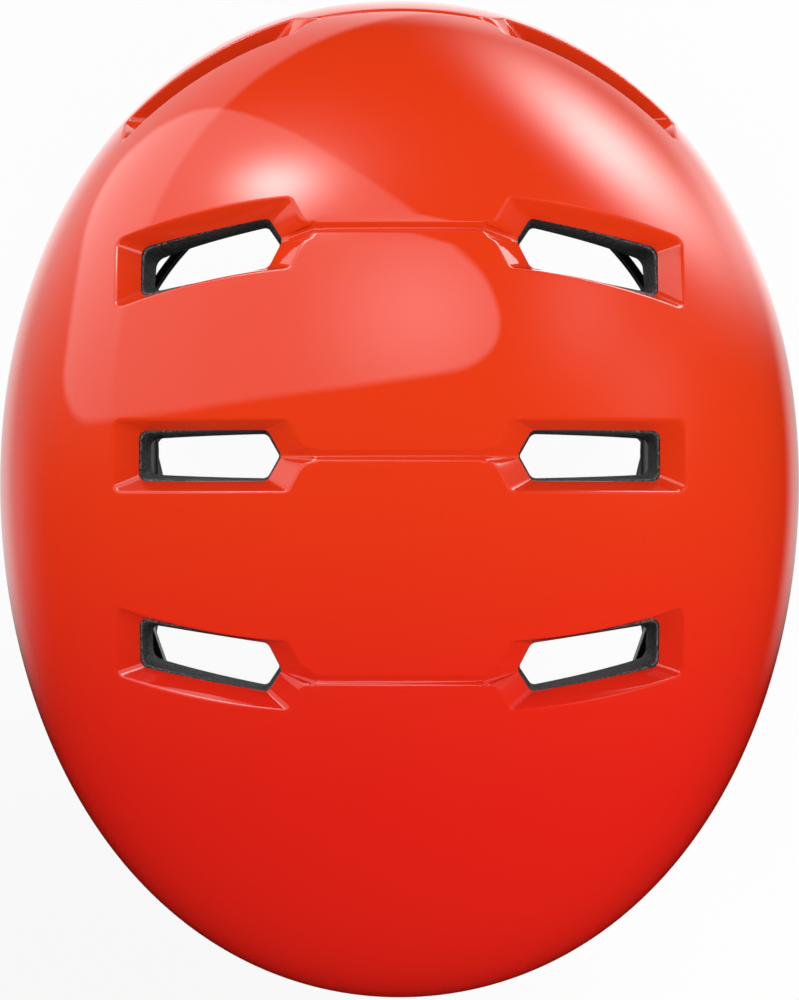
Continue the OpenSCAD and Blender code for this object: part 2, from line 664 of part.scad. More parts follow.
// Outer half of the cradle: a box that guides the racks, with the shaft's bore and the detent ring
screw_boss = 1.6;
screw_bite = 0.2;
detent_radius = dial_radius - 4.6;
detent_count = 24;
detent_notch = 0.8;
module cradle_cover() color(plastic_black) at_cradle() difference() {
    union() {
        translate([0, 0, -cavity_depth / 2]) linear_extrude(cavity_depth + housing_wall)
            rounded_square(housing_half, housing_tall, housing_corner);
        translate([0, 0, cover_back]) cylinder(r = dial_radius - 2, h = detent_height, $fn = 64);
    }
    difference() {
        translate([0, 0, -0.01]) cube([2 * (housing_half - housing_wall), 2 * (rack_top + seat_gap),
            cavity_depth + 0.02], center = true);
        screw_places() cylinder(r = screw_radius + screw_boss, h = through, center = true, $fn = 24);
    }
    for (turn = [0, 180]) rotate([0, 0, turn])
        translate([housing_half - housing_wall - 1, rack_root - seat_gap, -cavity_depth / 2 - 0.01])
            cube([housing_wall + 2, rack_bar + 2 * seat_gap, cavity_depth + 0.01]);
    cylinder(r = shaft_radius + running_gap, h = through, $fn = 48);
    translate([0, 0, cover_back]) cylinder(r = detent_radius, h = through, $fn = 64);
    for (k = [0:detent_count - 1]) rotate([0, 0, k * 360 / detent_count])
        translate([detent_radius, 0, cover_back]) cylinder(r = detent_notch, h = through, $fn = 16);
    screw_places() translate([0, 0, -through])
        cylinder(r = screw_radius - screw_bite, h = through + cavity_depth / 2, $fn = 24);
}

module cradle_screws() color(steel) at_cradle() screw_places() {
    translate([0, 0, -cavity_depth / 2 - housing_wall - 1]) cylinder(r = screw_head, h = 1, $fn = 24);
    translate([0, 0, -cavity_depth / 2 - housing_wall - 0.1])
        cylinder(r = screw_radius - screw_bite, h = housing_wall + cavity_depth - 0.5, $fn = 24);
}

cradle_pad_middle = 3;
cradle_pad_half = 14;
cradle_pad_thickness = 5;
module cradle_pad() color(pad_grey) at_cradle()
    cushion(function (s, t, h) [(housing_half - 1) * s, cradle_pad_middle - cradle_pad_half * t,
        -cavity_depth / 2 - housing_wall - pad_fastener - seat_gap - h], cradle_pad_thickness);

// Pinion with its shaft, a hexagon that drives the knob and a pivot in the back plate
hex_reach = 3.6;
module drive_pinion() color(plastic_grey) at_cradle() difference() {
    union() {
        linear_extrude(rack_thickness, center = true) pinion_profile();
        translate([0, 0, seat_gap - cavity_depth / 2 - pivot_seat])
            cylinder(r = pivot_radius, h = pivot_seat + 0.1, $fn = 32);
        cylinder(r = shaft_radius, h = cover_back, $fn = 48);
        cylinder(r = hex_radius, h = knob_front + hex_reach, $fn = 6);
    }
    translate([0, 0, knob_front - 3]) cylinder(r = screw_radius, h = through, $fn = 24);
}

// Knob with scalloped grips round it, a dished face and a well for the screw's head
grip_count = 18;
scallop_radius = 2.5;
scallop_depth = 0.9;
dish_radius = 19.2;
dish_depth = 1.7;
well_level = 5;
well_radius = 3;
module dial_knob() color(plastic_black) at_cradle() difference() {
    translate([0, 0, knob_front]) cylinder(r = dial_radius, h = dial_thickness, $fn = 96);
    for (k = [0:grip_count - 1]) rotate([0, 0, k * 360 / grip_count])
        translate([dial_radius + scallop_radius - scallop_depth, 0, knob_front - 1])
            cylinder(r = scallop_radius, h = dial_thickness + 2, $fn = 24);
    translate([0, 0, knob_front - 1])
        cylinder(r = hex_radius + running_gap, h = 1 + hex_reach + screw_bite, $fn = 6);
    cylinder(r = screw_radius + screw_bite, h = 2 * through, $fn = 24);
    translate([0, 0, knob_front + well_level]) cylinder(r = well_radius, h = dial_thickness, $fn = 32);
    translate([0, 0, knob_front + dial_thickness + dish_radius - dish_depth]) sphere(dish_radius, $fn = 96);
}

// Three sprung arms that click into the detent ring
spring_radius = dial_radius - 6;
spring_hub = 1.8;
spring_arm = 1.2;
spring_wall = 1.1;
spring_tip = 1;
spring_sweep = 92;
module detent_spring() color(plastic_grey) at_cradle()
    translate([0, 0, cover_back + seat_gap]) linear_extrude(detent_height - seat_gap) difference() {
        union() {
            circle(hex_radius + spring_hub, $fn = 48);
            for (k = [0:2]) rotate([0, 0, 120 * k]) {
                translate([hex_radius + spring_arm / 2, -spring_arm / 2])
                    square([spring_radius - hex_radius - spring_arm / 2, spring_arm]);
                intersection() {
                    difference() {
                        circle(spring_radius, $fn = 64);
                        circle(spring_radius - spring_wall, $fn = 64);
                    }
                    polygon(dial_radius * [[0, 0], [1.4, -0.06], [1.4, 1.4], [-0.14, 1.4]]);
                }
                rotate([0, 0, spring_sweep]) translate([spring_radius - 0.3, 0])
                    circle(spring_tip, $fn = 24);
            }
        }
        circle(hex_radius + running_gap, $fn = 6);
    }

module dial_screw() color(steel) at_cradle() {
    translate([0, 0, knob_front + well_level]) cylinder(r = well_radius - 0.4, h = 1.6, $fn = 32);
    translate([0, 0, knob_front - 2.4])
        cylinder(r = screw_radius - 0.05, h = well_level + 2.5, $fn = 24);
}

// Straps. All points are given for the right side and mirrored for the left.
front_anchor = [half_width - 41.6, half_length - 84, 0.2];
rear_anchor = [half_width - 37.7, 85.5 - half_length, -8];
divider_spot = [half_width - 38.8, -20, -80];
divider_lean = 24;
lap_gap = 0.35;

// Station of a strap: its width lies as close to the front-back direction as the run allows
function strap_station(p, run) = let (w = across(run, [0, 1, 0])) [p, w, cross(run, w)];
function on_divider(p) = let (c = cos(divider_lean), s = sin(divider_lean))
    divider_spot + [p.x, p.y * c - p.z * s, p.y * s + p.z * c];

// Straight strap, and the room for it where it lies in the foam
module upper_strap(from, to) {
    run = unit(to - from);
    color(webbing_grey) band([for (t = [0, 0.5, 1]) strap_station(mix(from, to, t), run)],
        strap_width, strap_thickness);
}
module strap_room(from, to) {
    run = unit(to - from);
    band([for (t = [-seat_gap, 40]) strap_station(from + run * t, run)],
        strap_width + 2 * seat_gap, strap_thickness + 2 * seat_gap);
}
front_strap_end = on_divider([0.2, 9.5, 4]);
rear_strap_end = on_divider([0, -8.5, 8]);
module right_front_strap() upper_strap(front_anchor, front_strap_end);
module left_front_strap() mirror([1, 0, 0]) upper_strap(front_anchor, front_strap_end);
module right_rear_strap() upper_strap(rear_anchor, rear_strap_end);
module left_rear_strap() mirror([1, 0, 0]) upper_strap(rear_anchor, rear_strap_end);

// Anchors of the straps: in front a clip that grips the edge of the liner from below,
// and behind a plug in the liner's wall
anchor_wall = 1.8;
clip_width = 8;
clip_low = -4;
clip_level = 2.6;
clip_peg = [7, 8, 6.5];
peg_step = 5.5;
rear_plug = [9, 13, 7];
module front_clip() {
    x = front_anchor.x + strap_thickness / 2 + lap_gap;
    reach = clip_peg.x + peg_step;
    y = front_anchor.y - clip_width / 2;
    translate([x, y, clip_low]) cube([anchor_wall, clip_width, clip_level - clip_low]);
    translate([x, y, clip_level - anchor_wall]) cube([reach, clip_width, anchor_wall]);
    clip_peg_in(0);
}
module clip_peg_in(grow) {
    x = front_anchor.x + strap_thickness / 2 + lap_gap + peg_step;
    translate([x, front_anchor.y - clip_peg.y / 2, clip_level - anchor_wall] - [1, 1, 1] * grow)
        cube(clip_peg + [2, 2, 2] * grow);
}
module rear_plug_in(grow)
    translate(rear_anchor + [strap_thickness / 2 + lap_gap, -rear_plug.y / 2, -rear_plug.z / 2]
        - [0, 1, 1] * grow) cube(rear_plug + [1, 2, 2] * grow);
module anchor_rooms() both_sides() {
    clip_peg_in(seat_gap);
    rear_plug_in(seat_gap);
    strap_room(rear_anchor, rear_strap_end);
}
module strap_anchors() color(plastic_black) both_sides() {
    front_clip();
    rear_plug_in(0);
}

// Divider below the ear: a base plate with two lugs, and a flap that turns on a pin between them
pin_radius = 1;
barrel_radius = 1.9;
pin_x = strap_thickness / 2 + lap_gap + barrel_radius;
pin_z = -13;
flap_half = strap_width / 2 + 0.4;
lug_width = 2.2;
lug_half = 3;
lug_gap = 0.3;
plate_x = -strap_thickness / 2 - lap_gap;
plate_corner = 4;
plate_corners = [[8, 15], [12, -13], [-15, 7.5], [-15, -7.5]];
plate_hole = 3.5;
flap_length = 21;
flap_lip = 1.5;

module at_divider() translate(divider_spot) rotate([divider_lean, 0, 0]) children();
module along_y(r, half, x, z, sides = 32)
    translate([x, 0, z]) rotate([90, 0, 0]) cylinder(r = r, h = 2 * half, center = true, $fn = sides);

module divider() color(plastic_black) at_divider() difference() {
    union() {
        translate([plate_x, 0, 0]) rotate([0, -90, 0]) linear_extrude(divider_plate) difference() {
            hull() for (c = plate_corners) translate(c) circle(plate_corner, $fn = 32);
            translate([3, 0]) circle(plate_hole, $fn = 32);
        }
        for (side = [-1, 1]) translate([plate_x - divider_plate,
            side * (flap_half + lug_gap + lug_width / 2) - lug_width / 2, pin_z - lug_half])
            cube([pin_x + barrel_radius - plate_x + divider_plate, lug_width, 2 * lug_half]);
    }
    along_y(pin_radius, flap_half + lug_width + 5, pin_x, pin_z);
}
module right_divider() divider();
module left_divider() mirror([1, 0, 0]) divider();

module divider_flap() color(plastic_grey) at_divider() difference() {
    union() {
        along_y(barrel_radius, flap_half, pin_x, pin_z);
        translate([pin_x - barrel_radius, -flap_half, pin_z])
            cube([flap_thickness, 2 * flap_half, flap_length]);
        along_y(flap_lip, flap_half, pin_x - barrel_radius + flap_lip, pin_z + flap_length);
    }
    along_y(pin_radius + running_gap, flap_half + 1, pin_x, pin_z);
}
module right_divider_flap() divider_flap();
module left_divider_flap() mirror([1, 0, 0]) divider_flap();

module divider_pins() color(steel) both_sides() at_divider()
    along_y(pin_radius, flap_half + lug_gap + lug_width, pin_x, pin_z);

// Chin strap from the divider to the buckle, where it wraps a bar in a slot
chin_centre = [0, 43, -134];
buckle_half = 24;
buckle_width = 22;
buckle_corner = 3;
bar_depth = 3.75;
slot_width = 3.5;
joint_half = 9;
base_low = -4;
base_top = 0;
foot_half = 6.7;
neck_half = 5.1;
foot_low = -1.3;
foot_high = 0.1;
slider_low = 1.9;
slider_high = 4.2;
slot_x = buckle_half - bar_depth - slot_width / 2;
wrap = lap_gap + strap_thickness / 2;
wrap_radius = slot_width / 2;

function chin_points(level) = [
    on_divider([0, 0, -3]), on_divider([0, 0, -14]), on_divider([0, 0, -23]), [half_width - 36.4, 6, -110],
    [half_width - 36, 20, -119], [half_width - 44, 31, -126.5], [half_width - 63, 39.5, -130.8],
    chin_centre + [34, -0.5, level - 0.4], chin_centre + [buckle_half + 3, 0, level]
];
chin_last = 8;

// Point on a smooth line through a list of points, u running from 0 to the last index
function smooth_line(p, u) =
    let (i = min(floor(u), len(p) - 2), t = u - i,
         a = p[max(i - 1, 0)], b = p[i], c = p[i + 1], d = p[min(i + 2, len(p) - 1)])
    0.5 * (2 * b + (c - a) * t + (2 * a - 5 * b + 4 * c - d) * t * t + (3 * b - a - 3 * c + d) * pow(t, 3));
// Station of the chin strap, moved out from the head
function chin_station(p, u, out) =
    let (run = unit(smooth_line(p, min(u + 0.02, chin_last)) - smooth_line(p, max(u - 0.02, 0))),
         s = strap_station(smooth_line(p, u), run))
    [s[0] + s[2] * out, s[1], s[2]];

// Station on a quarter turn into the slot, at an angle from the bar's face. side is 1 above and -1 below.
function wrap_station(angle, level, side) =
    let (reach = [-sin(angle), 0, side * cos(angle)])
    [chin_centre + [slot_x + wrap_radius, 0, level - side * wrap_radius] + wrap_radius * reach,
     [0, 1, 0], -reach];

right_level = slider_high + wrap;
right_tail_level = slider_low - wrap;
left_level = base_top + wrap;
left_tail_level = base_low - wrap;

module right_chin_strap() {
    p = chin_points(right_level);
    color(webbing_grey) band(concat(
        [for (k = [0:strap_pieces]) chin_station(p, k * chin_last / strap_pieces, 0)],
        [for (angle = [0:30:90]) wrap_station(angle, right_level, 1)]), strap_width, strap_thickness);
}

// Stations back along the outside of a strap, from the buckle's end to where the layers lie together
strap_pieces = 24;
tail_gap = 1.1;
tail_step = strap_thickness + tail_gap;
function tail_stations(p, start_step, count) =
    [for (k = [0:count]) let (back = k * chin_last / strap_pieces,
        s = chin_station(p, chin_last - back, mix(start_step, tail_step, ease(back / 1.2))))
        [s[0], s[1], -s[2]]];

// The left strap comes back through the slot and is sewn to itself
sewn_pieces = 5;
module left_chin_strap() {
    p = chin_points(left_level);
    color(webbing_grey) mirror([1, 0, 0]) band(concat(
        [for (k = [0:strap_pieces]) chin_station(p, k * chin_last / strap_pieces, 0)],
        [for (angle = [0:30:90]) wrap_station(angle, left_level, 1)],
        [for (angle = [90:-30:0]) wrap_station(angle, left_tail_level, -1)],
        tail_stations(p, left_level - left_tail_level, sewn_pieces)), strap_width, strap_thickness);
}

// Free end of the webbing, from the slot back along the chin strap
tail_pieces = 10;
module strap_tail() {
    p = chin_points(right_level);
    color(webbing_grey) band(concat([for (angle = [90:-30:0]) wrap_station(angle, right_tail_level, -1)],
        tail_stations(p, right_level - right_tail_level, tail_pieces)), strap_width, strap_thickness);
}

// Rubber loop round the strap and its tail
keeper_wall = 1.4;
keeper_length = 6;
keeper_at = 6.6;
keeper_play = 0.5;
module strap_keeper() {
    s = chin_station(chin_points(right_level), keeper_at, tail_step / 2);
    run = cross(s[1], s[2]);
    inner = [strap_width + 2 * keeper_play, strap_thickness + tail_step + 2 * keeper_play, 2 * keeper_length];
    color(plastic_black) multmatrix([for (i = [0:2]) [s[1][i], s[2][i], run[i], s[0][i]]]) difference() {
        cube([inner.x + 2 * keeper_wall, inner.y + 2 * keeper_wall, keeper_length], center = true);
        cube(inner, center = true);
    }
}

chin_pad_half = 12;
chin_pad_at = 5.95;
chin_pad_reach = 0.9;
chin_pad_play = 0.6;
module chin_pad() {
    p = chin_points(left_level);
    color(pad_grey) mirror([1, 0, 0]) cushion(function (s, t, h)
        let (c = chin_station(p, chin_pad_at - chin_pad_reach * s, -strap_thickness / 2 - chin_pad_play - h))
        c[0] + c[1] * chin_pad_half * t, chin_pad_thickness);
}

// Magnetic buckle. The slider's foot leaves a T-shaped slot in the base sideways, towards the front.
end_wall = 1.6;
slot_play = 0.3;
magnet_radius = 3.5;
magnet_height = 1.4;
magnet_play = 0.1;
module at_chin() translate(chin_centre) children();

// Plate from one x to another and one z to another, with rounded corners
module chin_plate(from, to, low, high, width, corner) translate([(from + to) / 2, 0, low])
    linear_extrude(high - low) rounded_square((to - from) / 2, width / 2, corner);
module bar_slot() translate([slot_x, 0, 0]) cube([slot_width, strap_width + 1, 20], center = true);
// Bar that lies in the T-shaped slot, open to the front
module slot_bar(half, low, high, back) translate([-half, -buckle_width / 2 + back, low])
    cube([2 * half, buckle_width - back, high - low]);

module buckle_base() color(plastic_black) at_chin() difference() {
    union() {
        chin_plate(-buckle_half, joint_half, base_low, base_top, buckle_width, buckle_corner);
        chin_plate(-joint_half + 1, joint_half - 0.5, base_low + 1, slider_low - slot_play,
            buckle_width - 1, buckle_corner / 2);
    }
    translate([0, 1, 0])
        slot_bar(foot_half + slot_play, foot_low - slot_play, foot_high + slot_play, end_wall);
    translate([0, 1, 0]) slot_bar(neck_half + slot_play, foot_low, slider_high, end_wall);
    mirror([1, 0, 0]) bar_slot();
    translate([0, 0, foot_low - slot_play - magnet_height - 2 * magnet_play])
        cylinder(r = magnet_radius + magnet_play, h = magnet_height + 1, $fn = 48);
}

grip_radius = 0.7;
module buckle_slider() color(plastic_grey) at_chin() difference() {
    union() {
        slot_bar(foot_half, foot_low, foot_high, end_wall + 1 + slot_play);
        slot_bar(neck_half, foot_low, slider_low + 0.5, end_wall + 1 + slot_play);
        chin_plate(-joint_half, buckle_half, slider_low, slider_high, buckle_width, buckle_corner);
        for (k = [-1:1]) along_y(grip_radius, buckle_width / 3, 4 * k, slider_high, 24);
    }
    bar_slot();
    translate([0, 0, foot_low - 1])
        cylinder(r = magnet_radius + magnet_play, h = 1 + magnet_height + 2 * magnet_play, $fn = 48);
}

module base_magnet() color(steel) at_chin()
    translate([0, 0, foot_low - slot_play - magnet_height - magnet_play])
        cylinder(r = magnet_radius, h = magnet_height, $fn = 48);
module slider_magnet() color(steel) at_chin() translate([0, 0, foot_low + magnet_play])
    cylinder(r = magnet_radius, h = magnet_height, $fn = 48);

outer_shell();
edge_trim();
foam_liner();
brow_pad();
crown_pad();
rear_pad();
left_side_pad();
right_side_pad();
front_ring();
liner_studs();
left_ring_band();
right_ring_band();
band_rivets();
cradle_hanger();
left_rack();
right_rack();
cradle_back();
cradle_cover();
cradle_screws();
hanger_rivet();
cradle_pad();
drive_pinion();
dial_knob();
detent_spring();
dial_screw();
strap_anchors();
left_front_strap();
right_front_strap();
left_rear_strap();
right_rear_strap();
left_divider();
right_divider();
left_divider_flap();
right_divider_flap();
divider_pins();
left_chin_strap();
right_chin_strap();
buckle_base();
buckle_slider();
base_magnet();
slider_magnet();
strap_tail();
strap_keeper();
chin_pad();
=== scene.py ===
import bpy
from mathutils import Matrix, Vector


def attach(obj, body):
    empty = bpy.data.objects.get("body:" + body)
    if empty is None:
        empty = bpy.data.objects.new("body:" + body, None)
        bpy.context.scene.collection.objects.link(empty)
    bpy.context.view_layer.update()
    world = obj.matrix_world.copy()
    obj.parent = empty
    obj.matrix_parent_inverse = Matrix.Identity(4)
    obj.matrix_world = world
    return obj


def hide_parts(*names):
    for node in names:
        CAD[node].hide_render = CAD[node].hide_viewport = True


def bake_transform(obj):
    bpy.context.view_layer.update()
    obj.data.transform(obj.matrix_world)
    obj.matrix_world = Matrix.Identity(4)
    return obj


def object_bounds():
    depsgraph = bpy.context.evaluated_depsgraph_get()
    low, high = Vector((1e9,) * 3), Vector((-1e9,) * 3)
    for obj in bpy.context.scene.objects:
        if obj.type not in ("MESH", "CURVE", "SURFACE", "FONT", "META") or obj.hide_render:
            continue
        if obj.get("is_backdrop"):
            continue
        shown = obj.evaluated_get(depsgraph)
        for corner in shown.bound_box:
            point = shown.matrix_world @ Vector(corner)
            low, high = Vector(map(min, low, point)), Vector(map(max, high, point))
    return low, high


bl_info = {
    "name": "Urban bicycle helmet",
    "version": (1, 0, 0),
    "blender": (4, 5, 0),
    "location": "View3D > Sidebar > Helmet",
    "description": "Dresses the packed bicycle helmet with its shell, foam, pads, webbing and studio",
    "category": "Object",
}

import math
from typing import NamedTuple

import bmesh
import bpy
import numpy as np
from bpy.props import FloatProperty, FloatVectorProperty, PointerProperty
from mathutils import Matrix, Vector
from mathutils.geometry import delaunay_2d_cdt

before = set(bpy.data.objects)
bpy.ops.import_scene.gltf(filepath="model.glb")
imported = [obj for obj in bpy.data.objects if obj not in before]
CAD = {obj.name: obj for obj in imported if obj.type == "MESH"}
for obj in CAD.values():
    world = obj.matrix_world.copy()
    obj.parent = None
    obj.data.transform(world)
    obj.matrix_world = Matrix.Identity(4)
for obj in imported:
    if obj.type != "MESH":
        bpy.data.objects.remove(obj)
CAD_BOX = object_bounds()
MM = 0.001

# Shape of the dome, as the solids have it: fullness squares up its profile, squareness its plan
DOME_CENTRE_Y = -3.1
FULLNESS = 0.025
SQUARENESS = 0.0155
FRONT_TAPER = 0.0262
SHELL_SKIRT = 1.1
CAVITY_SKIRT = 6.0

# Sines of the turns at which the lower edge has come down to the brow and to the nape
BROW_SINE = 0.8
NAPE_SINE = 0.75


class VentRow(NamedTuple):
    """One pair of vents, cut along its own direction, tilted forward from the vertical."""
    tilt: float
    offset: float
    slope: float
    lean: float
    bow: float
    width: float


VENT_ROWS = (
    VentRow(65, 20.2, 0.184, 0, 0, 0.88),
    VentRow(0, 63.1, 0.205, 1.6, 0.6, 1),
    VentRow(0, 11, 0, 0, 0, 1),
    VentRow(0, -40.9, -0.177, -1.4, -0.6, 0.97),
    VentRow(-90, -6, 0, 0, 0, 1),
)

# The vents' outlines, by their distance from the helmet's middle, and the groove that joins a pair
VENT_MIDDLE = 50
VENT_SPAN = 20
OPENING_OUTER = 67.9
OPENING_INNER = 34.2
OPENING_NOSE = 3.3
OPENING_NOSE_HALF = 0.6
RECESS_OUTER = 74.8
RECESS_INNER = 28.4
RECESS_NOSE = 5.4
NOSE_FILLET = 2.4
GROOVE_HALF = 1.6
GROOVE_STEPS = tuple(GROOVE_HALF * k / 4 for k in range(-4, 5))
NOSE_COUNT = len(GROOVE_STEPS)
GROOVE_REACH = 27
GROOVE_POINTS = 40

# How far an outline's inner side and its nose move where the whole outline grows by 1
INNER_GROWTH = 0.6
NOSE_GROWTH = 0.4

# How an outline's nose, bow and shoulder lie, and its steps on short and long sides
NOSE_SETBACK = 1.4
OPENING_BOW = 0.4
RECESS_BOW = 2
SHOULDER = 0.2
FILLET_SHOULDER = 0.34
SHORT_STEPS = 5
LONG_STEPS = 30

# Rows of the lower edges, in degrees above them
EDGE_RISES = (2.0, 1.0)
INNER_RISE = 3.0

# Roundings, rows and grids of the shell and the foam. Rows are shares of the way across a face
SHELL_EDGE = 0.7
SHELL_EDGE_POINTS = 360
SHELL_INNER_GRID = 3.2
BEVEL_ROWS = (0.35, 0.7)
LIP = 0.35
LIP_FLOOR = 0.2
FOAM_FLOOR = 0.3
FOAM_DRAFT = 3
FOAM_DRAFT_RUN = 10
FOAM_MOUTH = 0.5
FOAM_ROWS = (0.2, 0.4, 0.6, 0.8)
FOAM_EDGE = 1.4
FOAM_EDGE_POINTS = 240
FOAM_OUTER_GRID = 3.4
FOAM_INNER_GRID = 1.6

# The head ring, its bands and the hanger. An arc's turns are in radians and other turns in degrees
RUNNING_GAP = 0.08
SEAT_GAP = 0.3
RING_CENTRE_Y = 9
RING_POWER = 2.2
RING_TAIL = 14
RING_LOW = 6
RING_BROW = 15
RING_CLIMB_FROM = -0.25
RING_CLIMB = 1.1
RING_CORNER = 3.5
RING_POINTS = 400
RING_GRID = 2.5
RING_SLOT_TURNS = (38, 52, 65, 78)
SLOT_END = 0.98
STUD_TURNS = (17, 26)
STUD_RADIUS = 1.6
RIVET_TURN = -10
BAND_TAIL_TURN = -7
BAND_PIECES = 120
BAND_CORNER = 1.5
BAND_GRID = 2.2
PLATE_EDGE = 0.5
PLATE_ARC = (0.5, 1.05)
RACK_ROOT = 6.1
YOKE_PLAY = 7
YOKE_MARGIN = 1.5
HANGER_HALF = 7
HANGER_CORNER = 3
HANGER_RISE = 18
HANGER_FOOT = 13
HANGER_POINTS = 80
HANGER_STUD = 8
HANGER_RIVET = 3
HANGER_SLOT_HALF = 1.6
HANGER_SLOT_FROM = 6
HANGER_SLOT_TO = 9
HANGER_SLOT_CORNER = 1.5
HOUSING_WALL = 1.5
LINER_IN = 25
PAD_FASTENER = 1
PAD_BASE = LINER_IN + PAD_FASTENER

# The edge bead
TRIM_THICKNESS = 2.2
TRIM_REACH = 9.0
TRIM_GAP = 0.5
TRIM_POINTS = 360
TRIM_ROUNDINGS = (0.25, 0.5, 0.5, 0.5, 0.5)


def size(name, description, millimetres):
    return FloatProperty(name=name, description=description, default=millimetres * MM,
                         min=0, unit="LENGTH", precision=4)


def tone(name, description, value):
    return FloatVectorProperty(name=name, description=description, default=value,
                               min=0, max=1, size=3, subtype="COLOR")


def mm(value):
    return value / MM


class ShellSettings(bpy.types.PropertyGroup):
    length: size("Length", "Overall length of the shell, front to back", 275)
    width: size("Width", "Overall width of the shell", 220)
    crown: size("Crown height", "Height of the crown above the brow edge", 130)
    widest: size("Widest height", "Height of the widest level above the brow edge", 22)
    wall: size("Shell wall", "Thickness of the moulded outer shell", 2)
    ear_rise: size("Ear rise", "How far the edge rises over the ears", 12)
    nape_drop: size("Nape drop", "How far the edge drops at the nape", 34)
    fillet: size("Rim fillet", "How far the rounding of a vent's rim reaches each way", 0.75)
    grid: FloatProperty(name="Grid", description="Angle between the points of the shell's skin", min=0.5,
                        default=math.radians(1.1), unit="ROTATION")


class VentSettings(bpy.types.PropertyGroup):
    opening_half: size("Half opening", "Half the width of a vent opening", 6.5)
    bevel: size("Bevel", "Width of the bevel along a vent's long sides", 2.8)
    depth: size("Depth", "How deep a vent opening lies below the shell surface", 5)
    corner: size("Corner", "Corner radius of the openings and recesses", 2)
    groove_depth: size("Groove depth", "Depth of the groove that joins two recesses", 1)


class LinerSettings(bpy.types.PropertyGroup):
    gap: size("Liner gap", "Gap between the shell and the foam", 0.5)
    wall: size("Foam wall", "Thickness of the foam at the widest level", 22.5)
    edge: size("Foam edge", "Rounding of the foam where a vent meets the cavity", 1.6)


class RingSettings(bpy.types.PropertyGroup):
    half_width: size("Ring half width", "Inner half width of the head ring", 79)
    front: size("Ring front", "How far the ring reaches in front of its centre", 80)
    rear: size("Ring rear", "Length of the curve that the ring's tails follow", 108)
    height: size("Ring height", "Height of the head ring", 15)
    thickness: size("Ring thickness", "Thickness of the ring and its bands", 2)
    slot: size("Slot length", "Length of a slot in the ring", 13)
    slot_height: size("Slot height", "Height of a slot in the ring", 5)
    band_height: size("Band height", "Height of the side bands", 12)


class CradleSettings(bpy.types.PropertyGroup):
    dial_drop: size("Dial drop", "How far the dial axis lies below the brow edge", 54)
    rack_back: size("Rack layer", "How far the racks lie behind the middle of the opening", 95)
    rack_travel: size("Rack travel", "Travel of a rack in the cradle", 12)
    rack_bar: size("Rack bar", "Height of a rack's bar above its teeth", 3)
    half_width: size("Cradle half width", "Half the width of the cradle's housing", 22)


class StrapSettings(bpy.types.PropertyGroup):
    width: size("Strap width", "Width of the webbing", 15)
    thickness: size("Strap thickness", "Thickness of the webbing", 1.6)


class ColourSettings(bpy.types.PropertyGroup):
    # The shell's front red is a lit copy of its rear red: painted light that makes the front more orange
    shell_front: tone("Shell front", "Red of the shell at the front", (0.79, 0.043, 0.008))
    shell_rear: tone("Shell rear", "Red of the shell at the rear", (0.76, 0.014, 0.009))
    foam: tone("Foam", "Charcoal of the bead foam", (0.055, 0.057, 0.058))
    plastic: tone("Plastic", "Black of the moulded plastic", (0.02, 0.02, 0.021))
    webbing: tone("Webbing", "Grey of the straps", (0.035, 0.035, 0.037))
    cloth: tone("Pad cloth", "Grey of the pads' knitted cover", (0.03, 0.031, 0.034))
    thread: tone("Thread", "Grey of the stitches", (0.1, 0.1, 0.105))


class StageSettings(bpy.types.PropertyGroup):
    camera_height: size("Camera height", "Height of the camera above the widest level", 1500)
    picture_width: size("Picture width", "Width that the picture takes in at the widest level", 220.8)
    floor: tone("Floor", "Colour of the floor", (0.93, 0.93, 0.93))
    daylight: FloatProperty(name="Daylight", description="Brightness of the even light all round",
                            default=0.78, min=0)


class HelmetSettings(bpy.types.PropertyGroup):
    shell: PointerProperty(type=ShellSettings)
    vents: PointerProperty(type=VentSettings)
    liner: PointerProperty(type=LinerSettings)
    ring: PointerProperty(type=RingSettings)
    cradle: PointerProperty(type=CradleSettings)
    strap: PointerProperty(type=StrapSettings)
    colours: PointerProperty(type=ColourSettings)
    stage: PointerProperty(type=StageSettings)


def settings():
    return bpy.context.scene.helmet


# Arithmetic on rows of points

def unit(v):
    return v / np.maximum(np.linalg.norm(v, axis=-1, keepdims=True), 1e-12)


def ease(t):
    c = np.clip(t, 0, 1)
    return c * c * (3 - 2 * c)


def blend(a, b, t):
    return a + (b - a) * t


def skirted(z, skirt):
    return z + skirt * np.minimum(z, 0) ** 3


def unskirted(h, skirt):
    z = np.array(h, float)
    for _ in range(7):
        z = z - (skirted(z, skirt) - h) / (1 + 3 * skirt * np.minimum(z, 0) ** 2)
    return z


def fullness(polar):
    """How far the dome's profile is squared up at an angle from the crown."""
    return 1 + FULLNESS * np.sin(2 * polar) ** 2


def squareness(turn):
    """How far the dome's plan is squared up at a turn about the crown."""
    return 1 + SQUARENESS * np.sin(2 * turn) ** 2


def chart_points(polar, turn):
    return np.stack([polar * np.cos(turn), polar * np.sin(turn)], axis=-1)


def edge_height(turn):
    """Height of the shell's lower edge at a turn in radians."""
    shell = settings().shell
    s = np.sin(turn)
    front = blend(mm(shell.ear_rise), 0, ease(s / BROW_SINE))
    rear = blend(mm(shell.ear_rise), -mm(shell.nape_drop), ease(-s / NAPE_SINE))
    return np.where(s > 0, front, rear)


